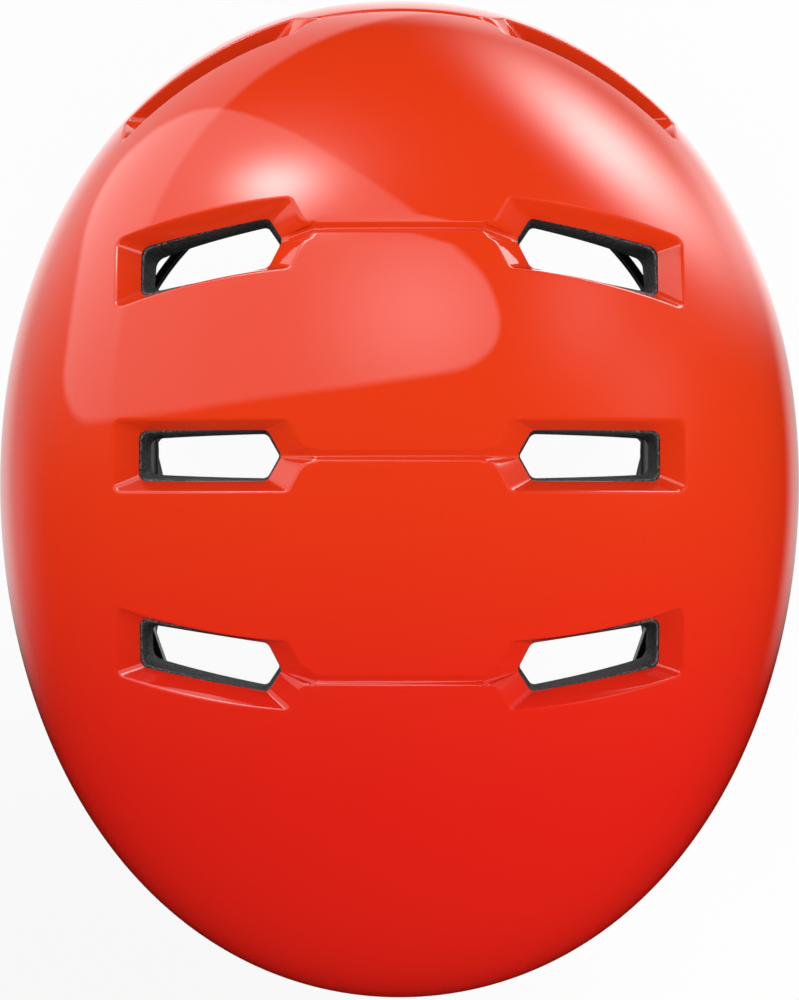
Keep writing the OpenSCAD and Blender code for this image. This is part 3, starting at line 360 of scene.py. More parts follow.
class Dome:
    """A dome moved in from the shell's outer face. A chart point's length is the angle from the crown."""

    def __init__(self, inset, skirt=SHELL_SKIRT):
        shell = settings().shell
        self.skirt = skirt
        self.half_width = mm(shell.width) / 2 - inset
        self.half_length = mm(shell.length) / 2 - inset
        self.widest = mm(shell.widest)
        self.rise = mm(shell.crown) - self.widest - inset

    def at(self, chart):
        polar = np.radians(np.hypot(chart[..., 0], chart[..., 1]))
        turn = np.arctan2(chart[..., 1], chart[..., 0])
        full = fullness(polar)
        reach = np.sin(polar) * full * squareness(turn)
        x = reach * np.cos(turn)
        y = reach * np.sin(turn)
        return np.stack([self.half_width * (1 + FRONT_TAPER * y) * x, DOME_CENTRE_Y + self.half_length * y,
                         self.widest + self.rise * skirted(np.cos(polar) * full, self.skirt)], axis=-1)

    def scaled(self, points):
        """The points in the dome's own unit sphere."""
        y = (points[..., 1] - DOME_CENTRE_Y) / self.half_length
        x = points[..., 0] / (self.half_width * (1 + FRONT_TAPER * y))
        z = unskirted((points[..., 2] - self.widest) / self.rise, self.skirt)
        turn = np.arctan2(y, x)
        return np.hypot(x, y) / squareness(turn), turn, z

    def chart(self, points):
        reach, turn, z = self.scaled(points)
        return chart_points(np.degrees(np.arctan2(reach, z)), turn)

    def level(self, points):
        """Below 0 inside the dome and above 0 outside."""
        reach, _, z = self.scaled(points)
        return np.hypot(reach, z) / fullness(np.arctan2(reach, z)) - 1

    def normal(self, chart, step=0.05):
        east = self.at(chart + [step, 0]) - self.at(chart - [step, 0])
        north = self.at(chart + [0, step]) - self.at(chart - [0, step])
        return unit(np.cross(east, north))

    def edge(self, turns, rise=0.0, guess=95.0):
        """Chart points on the lower edge, or rise degrees above it."""
        polar = np.full(len(turns), guess)
        z = unskirted((edge_height(turns) - self.widest) / self.rise, self.skirt)
        for _ in range(8):
            polar = np.degrees(np.arccos(z / fullness(np.radians(polar))))
        return chart_points(polar - rise, turns)

    def along(self, start, direction, low=-20.0, high=320.0, steps=34):
        """Where lines from start leave the dome."""
        low = np.full(len(start), low)
        high = np.full(len(start), high)
        for _ in range(steps):
            middle = (low + high) / 2
            outside = self.level(start + direction * middle[:, None]) > 0
            high = np.where(outside, middle, high)
            low = np.where(outside, low, middle)
        return start + direction * low[:, None]


class ShellDome(Dome):
    """The shell's outer face, with the grooves that join the recesses over the crown."""

    def __init__(self):
        super().__init__(0)
        self.smooth = Dome(0)

    def at(self, chart):
        points = self.smooth.at(chart)
        return points - self.smooth.normal(chart) * groove_depth(points)[..., None]


def groove_line(row):
    """Offset of a row's groove across the row."""
    return row.offset + row.lean + row.slope * (VENT_MIDDLE - (RECESS_INNER - RECESS_NOSE))


def groove_depth(points):
    """How far the grooves lie below the shell's face."""
    y = points[..., 1] - DOME_CENTRE_Y
    z = points[..., 2] - mm(settings().shell.widest)
    deepest = mm(settings().vents.groove_depth)
    depth = np.zeros(points.shape[:-1])
    for row in VENT_ROWS:
        tilt = math.radians(row.tilt)
        across = y * math.cos(tilt) - z * math.sin(tilt)
        ahead = y * math.sin(tilt) + z * math.cos(tilt)
        away = np.minimum(np.abs(across - groove_line(row)) / GROOVE_HALF, 1)
        valley = deepest * (0.5 + 0.5 * np.cos(np.pi * away))
        depth = np.maximum(depth, np.where((np.abs(points[..., 0]) < GROOVE_REACH) & (ahead > 0), valley, 0))
    return depth


# Outlines of the vents, across and along their row

def corner_arc(before, corner, after, radius, steps=6):
    """Points of a rounded corner."""
    to_before = unit(before - corner)
    to_after = unit(after - corner)
    half = math.acos(float(np.dot(to_before, to_after))) / 2
    reach = radius / math.tan(half)
    start = corner + to_before * reach
    end = corner + to_after * reach
    centre = corner + unit(to_before + to_after) * radius / math.sin(half)
    a = math.atan2(*(start - centre)[::-1])
    b = math.atan2(*(end - centre)[::-1])
    turn = (b - a + 3 * math.pi) % (2 * math.pi) - math.pi
    turns = [a + turn * k / steps for k in range(steps + 1)]
    return [centre + radius * np.array([math.cos(t), math.sin(t)]) for t in turns]


def rounded_loop(corners, radii, steps):
    """Closed loop with each of its corners rounded."""
    corners = np.array(corners, float)
    around = zip(np.roll(corners, 1, axis=0), corners, np.roll(corners, -1, axis=0), radii)
    return np.concatenate([corner_arc(*corner, steps) for corner in around])


def rounded_box(low, high, radius):
    """Rounded rectangle, counter-clockwise."""
    return rounded_loop([(high[0], low[1]), high, (low[0], high[1]), low], [radius] * 4, 5)


def stretch(a, b, steps):
    """Points strictly between two points."""
    return [blend(a, b, k / steps) for k in range(1, steps)]


def bend(a, control, b, steps):
    """Points or rows of a quadratic curve, ends included."""
    return [(1 - t) ** 2 * a + 2 * t * (1 - t) * control + t * t * b for t in np.linspace(0, 1, steps + 1)]


def spot(x, y):
    return np.array([x, y], float)


def slot_outline(half, outer, inner, nose, nose_steps, corner, fillet=0):
    """Closed slot outline, counter-clockwise, with as many points whatever its sizes."""
    outer_top, inner_top, beak = spot(outer, half), spot(inner, half), spot(nose, nose_steps[-1])
    shoulder = blend(beak, inner_top, FILLET_SHOULDER if fillet else SHOULDER)
    tip = beak - [fillet, 0]
    outer_arc = corner_arc(spot(outer, -half), outer_top, inner_top, corner)
    inner_arc = corner_arc(outer_top, inner_top, beak, corner)
    upper = stretch(spot(outer, 0), outer_arc[0], SHORT_STEPS) + outer_arc
    upper += stretch(outer_arc[-1], inner_arc[0], LONG_STEPS) + inner_arc
    upper += stretch(inner_arc[-1], shoulder, SHORT_STEPS) + bend(shoulder, beak, tip, SHORT_STEPS)
    lower = [p * [1, -1] for p in reversed(upper)]
    middle = [spot(tip[0], y) for y in reversed(nose_steps[1:-1])]
    return np.array([spot(outer, 0)] + upper + middle + lower)


def nose_start(count):
    """Where the nose's points start in an outline, which is mirrored about their middle."""
    return count // 2 - NOSE_COUNT // 2


def follow_row(row, outline, lean, bow):
    """The outline moved to its row's line, which slopes and bows."""
    x = outline[:, 0]
    v = outline[:, 1] + row.offset + lean + row.slope * (VENT_MIDDLE - x)
    return np.stack([x, v + bow * (1 - ((x - VENT_MIDDLE) / VENT_SPAN) ** 2)], axis=-1)


def opening_outline(row, grow=0.0):
    """Outline of the hole in a vent's floor."""
    vents = settings().vents
    nose_half = OPENING_NOSE_HALF + NOSE_GROWTH * grow
    steps = [nose_half * s / GROOVE_HALF for s in GROOVE_STEPS]
    outline = slot_outline(mm(vents.opening_half) * row.width + grow, OPENING_OUTER + grow,
                           OPENING_INNER - INNER_GROWTH * grow, OPENING_INNER - OPENING_NOSE - grow,
                           steps, mm(vents.corner) + max(grow, 0))
    return follow_row(row, outline, 0, row.bow * OPENING_BOW)


def recess_outline(row, grow=0.0):
    """Outline of a vent's rim, whose nose runs into the groove."""
    vents = settings().vents
    steps = [s * (1 + grow * NOSE_GROWTH / GROOVE_HALF) for s in GROOVE_STEPS]
    half = (mm(vents.opening_half) + mm(vents.bevel)) * row.width + grow
    outline = slot_outline(half, RECESS_OUTER + grow, RECESS_INNER - INNER_GROWTH * grow,
                           RECESS_INNER - RECESS_NOSE + NOSE_SETBACK - grow,
                           steps, mm(vents.corner) + max(grow, 0), NOSE_FILLET)
    followed = follow_row(row, outline, row.lean, row.bow * RECESS_BOW)
    nose = nose_start(len(followed))
    followed[nose:nose + NOSE_COUNT, 1] = groove_line(row) + np.array(steps)[::-1]
    return followed


def tilted(uv, depth, tilt):
    """Points of a row's tilted plane, at a depth along its direction."""
    angle = math.radians(tilt)
    v = uv[:, 1]
    return np.stack([uv[:, 0], DOME_CENTRE_Y + v * math.cos(angle) + depth * math.sin(angle),
                     mm(settings().shell.widest) - v * math.sin(angle) + depth * math.cos(angle)], axis=-1)


def tilt_direction(tilt):
    angle = math.radians(tilt)
    return np.array([0, math.sin(angle), math.cos(angle)])


def drape(row, outline, dome):
    """An outline laid on a dome along the row's own direction."""
    return dome.along(tilted(outline, 0, row.tilt), tilt_direction(row.tilt))


def loop_tangent(loop):
    return unit(np.roll(loop, -1, axis=0) - np.roll(loop, 1, axis=0))


def left_of(loop):
    """The same loop on the wearer's left, still counter-clockwise."""
    return (loop * [-1, 1, 1])[::-1]


# Meshes

def put(name, data):
    """A new object in the scene."""
    thing = bpy.data.objects.new(name, data)
    bpy.context.scene.collection.objects.link(thing)
    return thing


def mesh_object(name, points, faces, normals=None):
    mesh = bpy.data.meshes.new(name)
    mesh.from_pydata((np.asarray(points) * MM).tolist(), [], faces)
    mesh.shade_smooth()
    if normals is not None:
        mesh.normals_split_custom_set_from_vertices(np.asarray(normals).tolist())
    mesh.update()
    return put(name, mesh)


def outward(piece):
    """Point the faces of a closed piece outwards."""
    made = bmesh.new()
    made.from_mesh(piece.data)
    bmesh.ops.recalc_face_normals(made, faces=made.faces)
    if made.calc_volume(signed=True) < 0:
        bmesh.ops.reverse_faces(made, faces=made.faces)
    made.to_mesh(piece.data)
    made.free()
    return piece


def quads(*corners):
    """Faces from the numbers of their four corners."""
    return np.stack(corners, axis=-1).reshape(-1, 4).tolist()


def inside(polygon, points):
    """Which points lie inside a closed polygon."""
    result = np.zeros(len(points), bool)
    near = np.all((points >= polygon.min(axis=0)) & (points <= polygon.max(axis=0)), axis=1)
    x, y = points[near, 0], points[near, 1]
    hit = np.zeros(near.sum(), bool)
    for (ax, ay), (bx, by) in zip(polygon, np.roll(polygon, -1, axis=0)):
        if ay != by:
            hit ^= ((ay > y) != (by > y)) & (x < (bx - ax) * (y - ay) / (by - ay) + ax)
    result[near] = hit
    return result


def between(border, holes, points):
    """Which points lie inside a border and outside its holes."""
    keep = inside(border, points)
    for hole in holes:
        keep &= ~inside(hole, points)
    return keep


def hexagon_grid(low, high, spacing):
    rows = np.arange(low[1], high[1], spacing * math.sqrt(3) / 2)
    points = []
    for k, y in enumerate(rows):
        x = np.arange(low[0] + (k % 2) * spacing / 2, high[0], spacing)
        points.append(np.stack([x, np.full(len(x), y)], axis=-1))
    return np.concatenate(points)


def clear_of(points, marks, distance):
    """The points that lie further than a distance from every mark."""
    keep = np.ones(len(points), bool)
    for chunk in np.array_split(marks, max(1, len(marks) // 200)):
        gap = ((points[:, None, :] - chunk[None, :, :]) ** 2).sum(axis=2).min(axis=1)
        keep &= gap > distance ** 2
    return points[keep]


def triangulated(border, holes, lines, spacing):
    """Triangles of a flat region between a border and its holes. lines join numbered points of those."""
    edges, start = [], 0
    for loop in [border] + holes:
        count = len(loop)
        edges += [(start + i, start + (i + 1) % count) for i in range(count)]
        start += count
    points = [border] + holes
    for first, middle, last in lines:
        chain = [first] + list(range(start, start + len(middle))) + [last]
        edges += list(zip(chain[:-1], chain[1:]))
        points.append(middle)
        start += len(middle)
    fixed = np.concatenate(points)
    grid = hexagon_grid(border.min(axis=0), border.max(axis=0), spacing)
    grid = clear_of(grid[between(border, holes, grid)], fixed, spacing * 0.55)
    flat = np.concatenate([fixed, grid])
    _, _, faces, origin, _, _ = delaunay_2d_cdt([Vector(p) for p in flat.tolist()], edges, [], 0, 1e-7)
    source = [ids[0] if ids else -1 for ids in origin]
    if -1 in source:
        raise RuntimeError("two lines of the skin cross")
    triangles = np.array([[source[i] for i in face] for face in faces])
    return flat, triangles[between(border, holes, flat[triangles].mean(axis=1))]


class Skins:
    """Closed solid between an outer and an inner dome, joined by strips of rows of points.
    A strip starts on the outer dome and ends on the inner one. The first strip is the lower edge."""

    def __init__(self, outer, inner):
        self.outer = outer
        self.inner = inner
        self.points = []
        self.normals = []
        self.faces = []
        self.first_rows = []
        self.last_rows = []

    def add_points(self, points, normals):
        start = sum(len(p) for p in self.points)
        self.points.append(points)
        self.normals.append(normals)
        return np.arange(start, start + len(points))

    def strip(self, rows, first=None, last=None):
        """first and last are the charts of the first and last rows, for a face that has no inverse."""
        first = self.outer.chart(rows[0]) if first is None else first
        last = self.inner.chart(rows[-1]) if last is None else last
        indices = []
        for k, row in enumerate(rows):
            down = rows[min(k + 1, len(rows) - 1)] - rows[max(k - 1, 0)]
            facing = unit(np.cross(loop_tangent(row), down))
            if k == 0:
                facing = self.outer.normal(first)
            if k == len(rows) - 1:
                facing = -self.inner.normal(last)
            indices.append(self.add_points(row, facing))
        for upper, lower in zip(indices[:-1], indices[1:]):
            self.faces += quads(upper, np.roll(upper, -1), np.roll(lower, -1), lower)
        self.first_rows.append((indices[0], first))
        self.last_rows.append((indices[-1], last))

    def strip_pair(self, rows):
        """A strip on the wearer's right and its mirror image on the left."""
        self.strip(rows)
        self.strip([left_of(r) for r in rows])

    def skin(self, dome, rows, spacing, lines, side):
        """Cover one dome between its strips. side is 1 outside and -1 inside."""
        known = np.concatenate([index for index, _ in rows])
        flat, triangles = triangulated(rows[0][1], [chart for _, chart in rows[1:]], lines, spacing)
        fresh = flat[len(known):]
        added = self.add_points(dome.at(fresh), dome.normal(fresh) * side)
        triangles = np.concatenate([known, added])[triangles]
        self.faces += triangles[:, ::side].tolist()

    def build(self, name, outer_spacing, inner_spacing, outer_lines=()):
        self.skin(self.outer, self.first_rows, outer_spacing, outer_lines, 1)
        self.skin(self.inner, self.last_rows, inner_spacing, (), -1)
        return mesh_object(name, np.concatenate(self.points), self.faces, np.concatenate(self.normals))


def vent_rows_of_shell(row, outer):
    """Rows of a recess from the shell's outer face over the bevel and the lip to its inner face."""
    wall, fillet = mm(settings().shell.wall), mm(settings().shell.fillet)
    depth = mm(settings().vents.depth)
    rim = outer.at(outer.chart(drape(row, recess_outline(row), outer)))
    opening = drape(row, opening_outline(row), Dome(depth))
    under = drape(row, opening_outline(row, wall), Dome(depth + LIP_FLOOR))
    away = unit(np.cross(loop_tangent(rim), outer.normal(outer.chart(rim))))
    slope = unit(opening - rim)
    rows = bend(outer.at(outer.chart(rim + away * fillet)), rim, rim + slope * fillet, 5)
    rows += [blend(rim, opening, f) for f in BEVEL_ROWS]
    rows += bend(opening - slope * LIP, opening, opening + unit(under - opening) * LIP, 3)
    return rows + [under, drape(row, recess_outline(row, wall), Dome(wall))]


def lower_edge(outer, inner, count, rounded):
    """Rows of a wall's lower edge, clockwise, from the outer face to the inner one."""
    turns = -np.linspace(0, 2 * np.pi, count, endpoint=False)
    outer_edge = outer.at(outer.edge(turns))
    inner_edge = inner.at(inner.edge(turns))
    rows = [outer.at(outer.edge(turns, rise)) for rise in EDGE_RISES]
    run = unit(inner_edge - outer_edge)
    up = unit(rows[-1] - outer_edge)
    inner_up = unit(inner.at(inner.edge(turns, EDGE_RISES[-1])) - inner_edge)
    rows += bend(outer_edge + up * rounded, outer_edge, outer_edge + run * rounded, 3)
    rows += bend(inner_edge - run * rounded, inner_edge, inner_edge + inner_up * rounded, 4)
    return rows + [inner.at(inner.edge(turns, INNER_RISE))]


def make_shell():
    shell = settings().shell
    outer, inner = ShellDome(), Dome(mm(shell.wall))
    skins = Skins(outer, inner)
    skins.strip(lower_edge(outer, inner, SHELL_EDGE_POINTS, SHELL_EDGE))
    start = SHELL_EDGE_POINTS
    lines = []
    for row in VENT_ROWS:
        rows = vent_rows_of_shell(row, outer)
        skins.strip_pair(rows)
        count = len(rows[0])
        for k, step in enumerate(GROOVE_STEPS):
            right = nose_start(count) + k
            left = 2 * count - 1 - right
            x = np.linspace(rows[0][right][0], -rows[0][right][0], GROOVE_POINTS)[1:-1]
            uv = np.stack([x, np.full(len(x), groove_line(row) - step)], axis=-1)
            lines.append((start + right, outer.chart(drape(row, uv, outer)), start + left))
        start += 2 * count
    return skins.build("helmet_shell", math.degrees(shell.grid), SHELL_INNER_GRID, lines)


def vent_rows_of_foam(row, outer, inner, inset):
    """Rows of a vent from its seat under the shell's recess down to the cavity, widening by its draft."""
    floor_dome = Dome(mm(settings().vents.depth) + FOAM_FLOOR)
    edge = mm(settings().liner.edge)
    direction = tilt_direction(row.tilt)
    seat = drape(row, recess_outline(row, inset), outer)
    floor = drape(row, opening_outline(row, inset), floor_dome)
    base = opening_outline(row)
    widening = base - opening_outline(row, -1)
    level = drape(row, np.array([[VENT_MIDDLE, row.offset]]), floor_dome)[0] @ direction
    level -= tilted(np.array([[0, 0]]), 0, row.tilt)[0] @ direction
    taper = math.tan(math.radians(FOAM_DRAFT))
    start = tilted(base - widening * level * taper, 0, row.tilt)
    end = tilted(base + widening * FOAM_DRAFT_RUN * taper, level + FOAM_DRAFT_RUN, row.tilt)
    run = unit(end - start)
    mouth = floor_dome.along(start, run)
    foot = inner.along(start, run)
    out = unit(floor - mouth)
    away = unit(np.cross(loop_tangent(foot), inner.normal(inner.chart(foot))))
    rows = [seat, floor] + bend(mouth + out * FOAM_MOUTH, mouth, mouth - run * FOAM_MOUTH, 3)
    rows += [blend(mouth, foot, f) for f in FOAM_ROWS]
    return rows + bend(foot + run * edge, foot, inner.at(inner.chart(foot + away * edge)), 4)


def make_foam():
    shell, liner = settings().shell, settings().liner
    inset = mm(shell.wall) + mm(liner.gap)
    outer, inner = Dome(inset), Dome(inset + mm(liner.wall), CAVITY_SKIRT)
    skins = Skins(outer, inner)
    skins.strip(lower_edge(outer, inner, FOAM_EDGE_POINTS, FOAM_EDGE))
    for row in VENT_ROWS:
        skins.strip_pair(vent_rows_of_foam(row, outer, inner, inset))
    return skins.build("bead_foam_liner", FOAM_OUTER_GRID, FOAM_INNER_GRID)


# Bands and plates bent along a run

class Run:
    """A route with a direction across the band and a direction out of it at every point."""

    def __init__(self, centres, across):
        self.centres = centres
        steps = np.linalg.norm(np.diff(centres, axis=0), axis=1)
        self.s = np.concatenate([[0], np.cumsum(steps)])
        forward = unit(np.gradient(centres, self.s, axis=0))
        across = np.broadcast_to(np.asarray(across, float), centres.shape)
        self.across = unit(across - forward * (forward * across).sum(axis=1, keepdims=True))
        self.out = np.cross(forward, self.across)
        self.length = self.s[-1]

    def look_up(self, table, s):
        return np.stack([np.interp(s, self.s, table[:, k]) for k in range(3)], axis=-1)

    def at(self, s, across, out):
        side = self.look_up(self.across, s) * np.asarray(across)[..., None]
        return self.look_up(self.centres, s) + side + self.look_up(self.out, s) * np.asarray(out)[..., None]


class BentFace:
    """One face of a band, at a distance out of its run."""

    def __init__(self, run, out):
        self.run = run
        self.out = out

    def at(self, chart):
        return self.run.at(chart[..., 0], chart[..., 1], self.out)

    def normal(self, chart):
        return unit(self.run.look_up(self.run.out, chart[..., 0]))


def densified(loop, spacing):
    """The loop with points added on its long stretches."""
    points = []
    for a, b in zip(loop, np.roll(loop, -1, axis=0)):
        steps = max(1, int(np.linalg.norm(b - a) / spacing))
        points += [blend(a, b, k / steps) for k in range(steps)]
    return np.array(points)


def moved_in(loop, distance):
    """The loop moved to its left, which is inwards on a counter-clockwise loop."""
    t = loop_tangent(loop)
    return loop + np.stack([-t[:, 1], t[:, 0]], axis=-1) * distance


def bent_plate(name, run, outline, holes, spacing):
    """Plate of the ring's thickness with rounded edges and holes, bent along a run."""
    half = mm(settings().ring.thickness) / 2
    low = half - PLATE_EDGE
    skins = Skins(BentFace(run, half), BentFace(run, -half))
    loops = [densified(outline, spacing)[::-1]] + [densified(h, spacing) for h in holes]
    for loop in loops:
        inner = moved_in(loop, -PLATE_EDGE)
        upper = [(inner, half)]
        upper += [(blend(inner, loop, math.sin(a)), low + PLATE_EDGE * math.cos(a)) for a in PLATE_ARC]
        upper += [(loop, low)]
        profile = upper + [(line, -out) for line, out in reversed(upper)]
        skins.strip([run.at(line[:, 0], line[:, 1], out) for line, out in profile], inner, inner)
    return skins.build(name, spacing, spacing)


def disc(s, across, radius, count=20):
    a = np.linspace(0, 2 * np.pi, count, endpoint=False)
    return np.stack([s + radius * np.cos(a), across + radius * np.sin(a)], axis=-1)


def stud_hole(s, across=0):
    return disc(s, across, STUD_RADIUS + RUNNING_GAP)


def ring_spot(turn):
    """Middle of the ring's inner face at a turn in degrees."""
    ring = settings().ring
    t = np.radians(turn)
    c, s = np.cos(t), np.sin(t)
    power = 2 / RING_POWER
    long = np.where(s > 0, mm(ring.front), mm(ring.rear))
    x = mm(ring.half_width) * np.sign(c) * np.abs(c) ** power
    y = RING_CENTRE_Y + long * np.sign(s) * np.abs(s) ** power
    return np.stack([x, y, blend(RING_LOW, RING_BROW, ease((s - RING_CLIMB_FROM) / RING_CLIMB))], axis=-1)


def ring_out(turn):
    """Direction out of the ring at a turn in degrees."""
    d = ring_spot(turn + 0.5) - ring_spot(turn - 0.5)
    return unit(np.stack([d[..., 1], -d[..., 0], np.zeros(np.shape(turn))], axis=-1))


def make_front_ring():
    ring = settings().ring
    turns = np.linspace(-RING_TAIL, 180 + RING_TAIL, RING_POINTS)
    run = Run(ring_spot(turns) + ring_out(turns) * mm(ring.thickness) / 2, (0, 0, 1))
    half, reach, tall = mm(ring.height) / 2, mm(ring.slot) / 2, mm(ring.slot_height) / 2
    outline = rounded_box((0, -half), (run.length, half), RING_CORNER)
    holes = []
    for turn in RING_SLOT_TURNS + tuple(180 - t for t in RING_SLOT_TURNS):
        s = np.interp(turn, turns, run.s)
        holes.append(rounded_box((s - reach, -tall), (s + reach, tall), tall * SLOT_END))
    for turn in STUD_TURNS + (RIVET_TURN,):
        holes += [stud_hole(np.interp(t, turns, run.s)) for t in (turn, 180 - turn)]
    return bent_plate("head_ring", run, outline, holes, RING_GRID)


def cubic(controls, t):
    s = 1 - t[:, None]
    t = t[:, None]
    a, b, c, d = [np.asarray(p, float) for p in controls]
    return s ** 3 * a + 3 * t * s * s * b + 3 * t * t * s * c + t ** 3 * d


def make_ring_band(side):
    """Side band from the ring's tail to a rack. side is 1 on the wearer's right and -1 on the left."""
    ring, cradle = settings().ring, settings().cradle
    start = ring_spot(BAND_TAIL_TURN) - ring_out(BAND_TAIL_TURN) * (mm(ring.thickness) / 2 + SEAT_GAP)
    yoke_end = mm(cradle.half_width) + mm(cradle.rack_travel) + YOKE_PLAY
    half = mm(ring.band_height) / 2
    drop = RACK_ROOT + mm(cradle.rack_bar) - half - YOKE_MARGIN
    end = np.array([yoke_end + SEAT_GAP, -mm(cradle.rack_back), side * drop - mm(cradle.dial_drop)])
    controls = [start, start + [-2.5, -26, -6], end + [16, 7, 5], end]
    route = cubic(controls, np.linspace(0, 1, BAND_PIECES + 1))
    run = Run(route, (0, 0, 1))
    outline = rounded_box((0, -half), (run.length, half), BAND_CORNER)
    rivet = ring_spot(RIVET_TURN)
    at = np.argmin(np.linalg.norm(route[:, :2] - rivet[:2], axis=1))
    hole = stud_hole(run.s[at], (rivet - route[at]) @ run.across[at])
    piece = bent_plate("side_band", run, outline, [hole], BAND_GRID)
    return piece if side > 0 else mirrored(piece)


def mirrored(piece):
    """Turn a piece over to the wearer's left."""
    mesh = piece.data
    facing = np.zeros((len(mesh.vertices), 3))
    for loop, normal in zip(mesh.loops, mesh.corner_normals):
        facing[loop.vertex_index] = normal.vector
    mesh.transform(Matrix.Diagonal((-1, 1, 1, 1)))
    mesh.flip_normals()
    mesh.normals_split_custom_set_from_vertices((facing * [-1, 1, 1]).tolist())
    mesh.update()
    return piece


def make_hanger():
    """Strap from a stud on the foam's rear down to the cradle."""
    ring, cradle = settings().ring, settings().cradle
    half_thick = mm(ring.thickness) / 2
    chart = Dome(LINER_IN, CAVITY_SKIRT).edge(np.array([-np.pi / 2]), HANGER_RISE)
    top = Dome(PAD_BASE + half_thick, CAVITY_SKIRT).at(chart)[0]
    back = -mm(cradle.rack_back) + HOUSING_WALL - SEAT_GAP - half_thick
    foot = np.array([0, back, -mm(cradle.dial_drop) + HANGER_FOOT])
    controls = [top, top + [0, 1.5, -18], foot + [0, 0, 16], foot]
    run = Run(cubic(controls, np.linspace(0, 1, HANGER_POINTS)), (1, 0, 0))
    outline = rounded_box((0, -HANGER_HALF), (run.length, HANGER_HALF), HANGER_CORNER)
    stud = run.s[HANGER_STUD]
    slot = rounded_box((stud + HANGER_SLOT_FROM, -HANGER_SLOT_HALF),
                       (run.length - HANGER_SLOT_TO, HANGER_SLOT_HALF), HANGER_SLOT_CORNER)
    holes = [stud_hole(stud), stud_hole(run.length - HANGER_RIVET), slot]
    return bent_plate("cradle_hanger_strap", run, outline, holes, BAND_GRID)


def make_trim():
    """Rubber bead under the edge of the shell and the liner."""
    turns = np.linspace(0, 2 * np.pi, TRIM_POINTS, endpoint=False)
    low = -TRIM_THICKNESS
    corners = [(0, 0), (TRIM_REACH, 0), (TRIM_REACH, low), (-0.8 * low, low), (-0.25 * low, 0.75 * low)]
    rings = []
    for inset, height in rounded_loop(corners, TRIM_ROUNDINGS, 3):
        dome = Dome(inset)
        rings.append(dome.at(dome.edge(turns)) + [0, 0, height - TRIM_GAP])
    points = np.stack(rings, axis=1)
    number = np.arange(points.shape[0] * points.shape[1]).reshape(points.shape[:2])
    beside = np.roll(number, -1, axis=1)
    faces = quads(number, beside, np.roll(beside, -1, axis=0), np.roll(number, -1, axis=0))
    return outward(mesh_object("edge_bead", points.reshape(-1, 3), faces))


# Webbing

SIDES = ((1, "right"), (-1, "left"))
STRAP_PITCH = 0.86
STRAP_NOTCH = 0.32
STRAP_ACROSS = 19
STRAP_EASE = 0.16
RIBS = 9
RIB_HEIGHT = 0.1
RIB_PITCH = 0.83
PICK_DEPTH = 0.05
STRAP_PIECES = 24
LEFT_TAIL_PIECES = 5
FREE_TAIL_PIECES = 10
CHIN_LAST = 8
CHIN_CENTRE = np.array([0, 43, -134.0])
DIVIDER_IN = 38.8
DIVIDER_Y = -20
DIVIDER_Z = -80
DIVIDER_LEAN = math.radians(24)
SLOT_X = 18.5
WRAP_RADIUS = 1.75
SLIDER_LOW = 1.9
SLIDER_HIGH = 4.2
BASE_LOW = -4
BASE_TOP = 0
LAP_GAP = 0.35
TAIL_STEP = 2.7


def on_divider(x, y, z):
    """A point given from the middle of the right divider, which leans."""
    c, s = math.cos(DIVIDER_LEAN), math.sin(DIVIDER_LEAN)
    middle = mm(settings().shell.width) / 2 - DIVIDER_IN
    return np.array([middle + x, DIVIDER_Y + y * c - z * s, DIVIDER_Z + y * s + z * c])


def chin_points(level):
    """Route of the chin strap's middle, from the right divider to the buckle."""
    width = mm(settings().shell.width) / 2
    return [on_divider(0, 0, -3), on_divider(0, 0, -14), on_divider(0, 0, -23), (width - 36.4, 6, -110),
            (width - 36, 20, -119), (width - 44, 31, -126.5), (width - 63, 39.5, -130.8),
            CHIN_CENTRE + [34, -0.5, level - 0.4], CHIN_CENTRE + [27, 0, level]]


def smooth_line(points, u):
    """Points on a smooth line through a list of points, u running from 0 to the last index."""
    p = np.asarray(points, float)
    i = np.minimum(np.floor(u).astype(int), len(p) - 2)
    t = (u - i)[:, None]
    a, b, c, d = p[np.maximum(i - 1, 0)], p[i], p[i + 1], p[np.minimum(i + 2, len(p) - 1)]
    square, cube = 2 * a - 5 * b + 4 * c - d, 3 * b - a - 3 * c + d
    return 0.5 * (2 * b + (c - a) * t + square * t ** 2 + cube * t ** 3)


def chin_axes(points, u):
    """Directions along the chin strap and across it."""
    ahead, behind = np.minimum(u + 0.02, CHIN_LAST), np.maximum(u - 0.02, 0)
    forward = unit(smooth_line(points, ahead) - smooth_line(points, behind))
    return forward, unit(np.array([0, 1, 0]) - forward * forward[:, 1:2])


def chin_line(level, u, out):
    """Points of the chin strap's middle, moved out from the head."""
    points = chin_points(level)
    forward, across = chin_axes(points, u)
    return smooth_line(points, u) + np.cross(forward, across) * np.asarray(out)[..., None]


def wrap_line(angles, level, side):
    """Quarter turn into the buckle's slot. side is 1 above the bar and -1 below it."""
    a = np.radians(angles)
    reach = np.stack([-np.sin(a), 0 * a, side * np.cos(a)], axis=-1)
    return CHIN_CENTRE + [SLOT_X + WRAP_RADIUS, 0, level - side * WRAP_RADIUS] + WRAP_RADIUS * reach


def evenly(points, spacing):
    """The points of a line moved to an even spacing."""
    s = np.concatenate([[0], np.cumsum(np.linalg.norm(np.diff(points, axis=0), axis=1))])
    at = np.linspace(0, s[-1], max(2, int(round(s[-1] / spacing)) + 1))
    return np.stack([np.interp(at, s, points[:, k]) for k in range(3)], axis=-1)


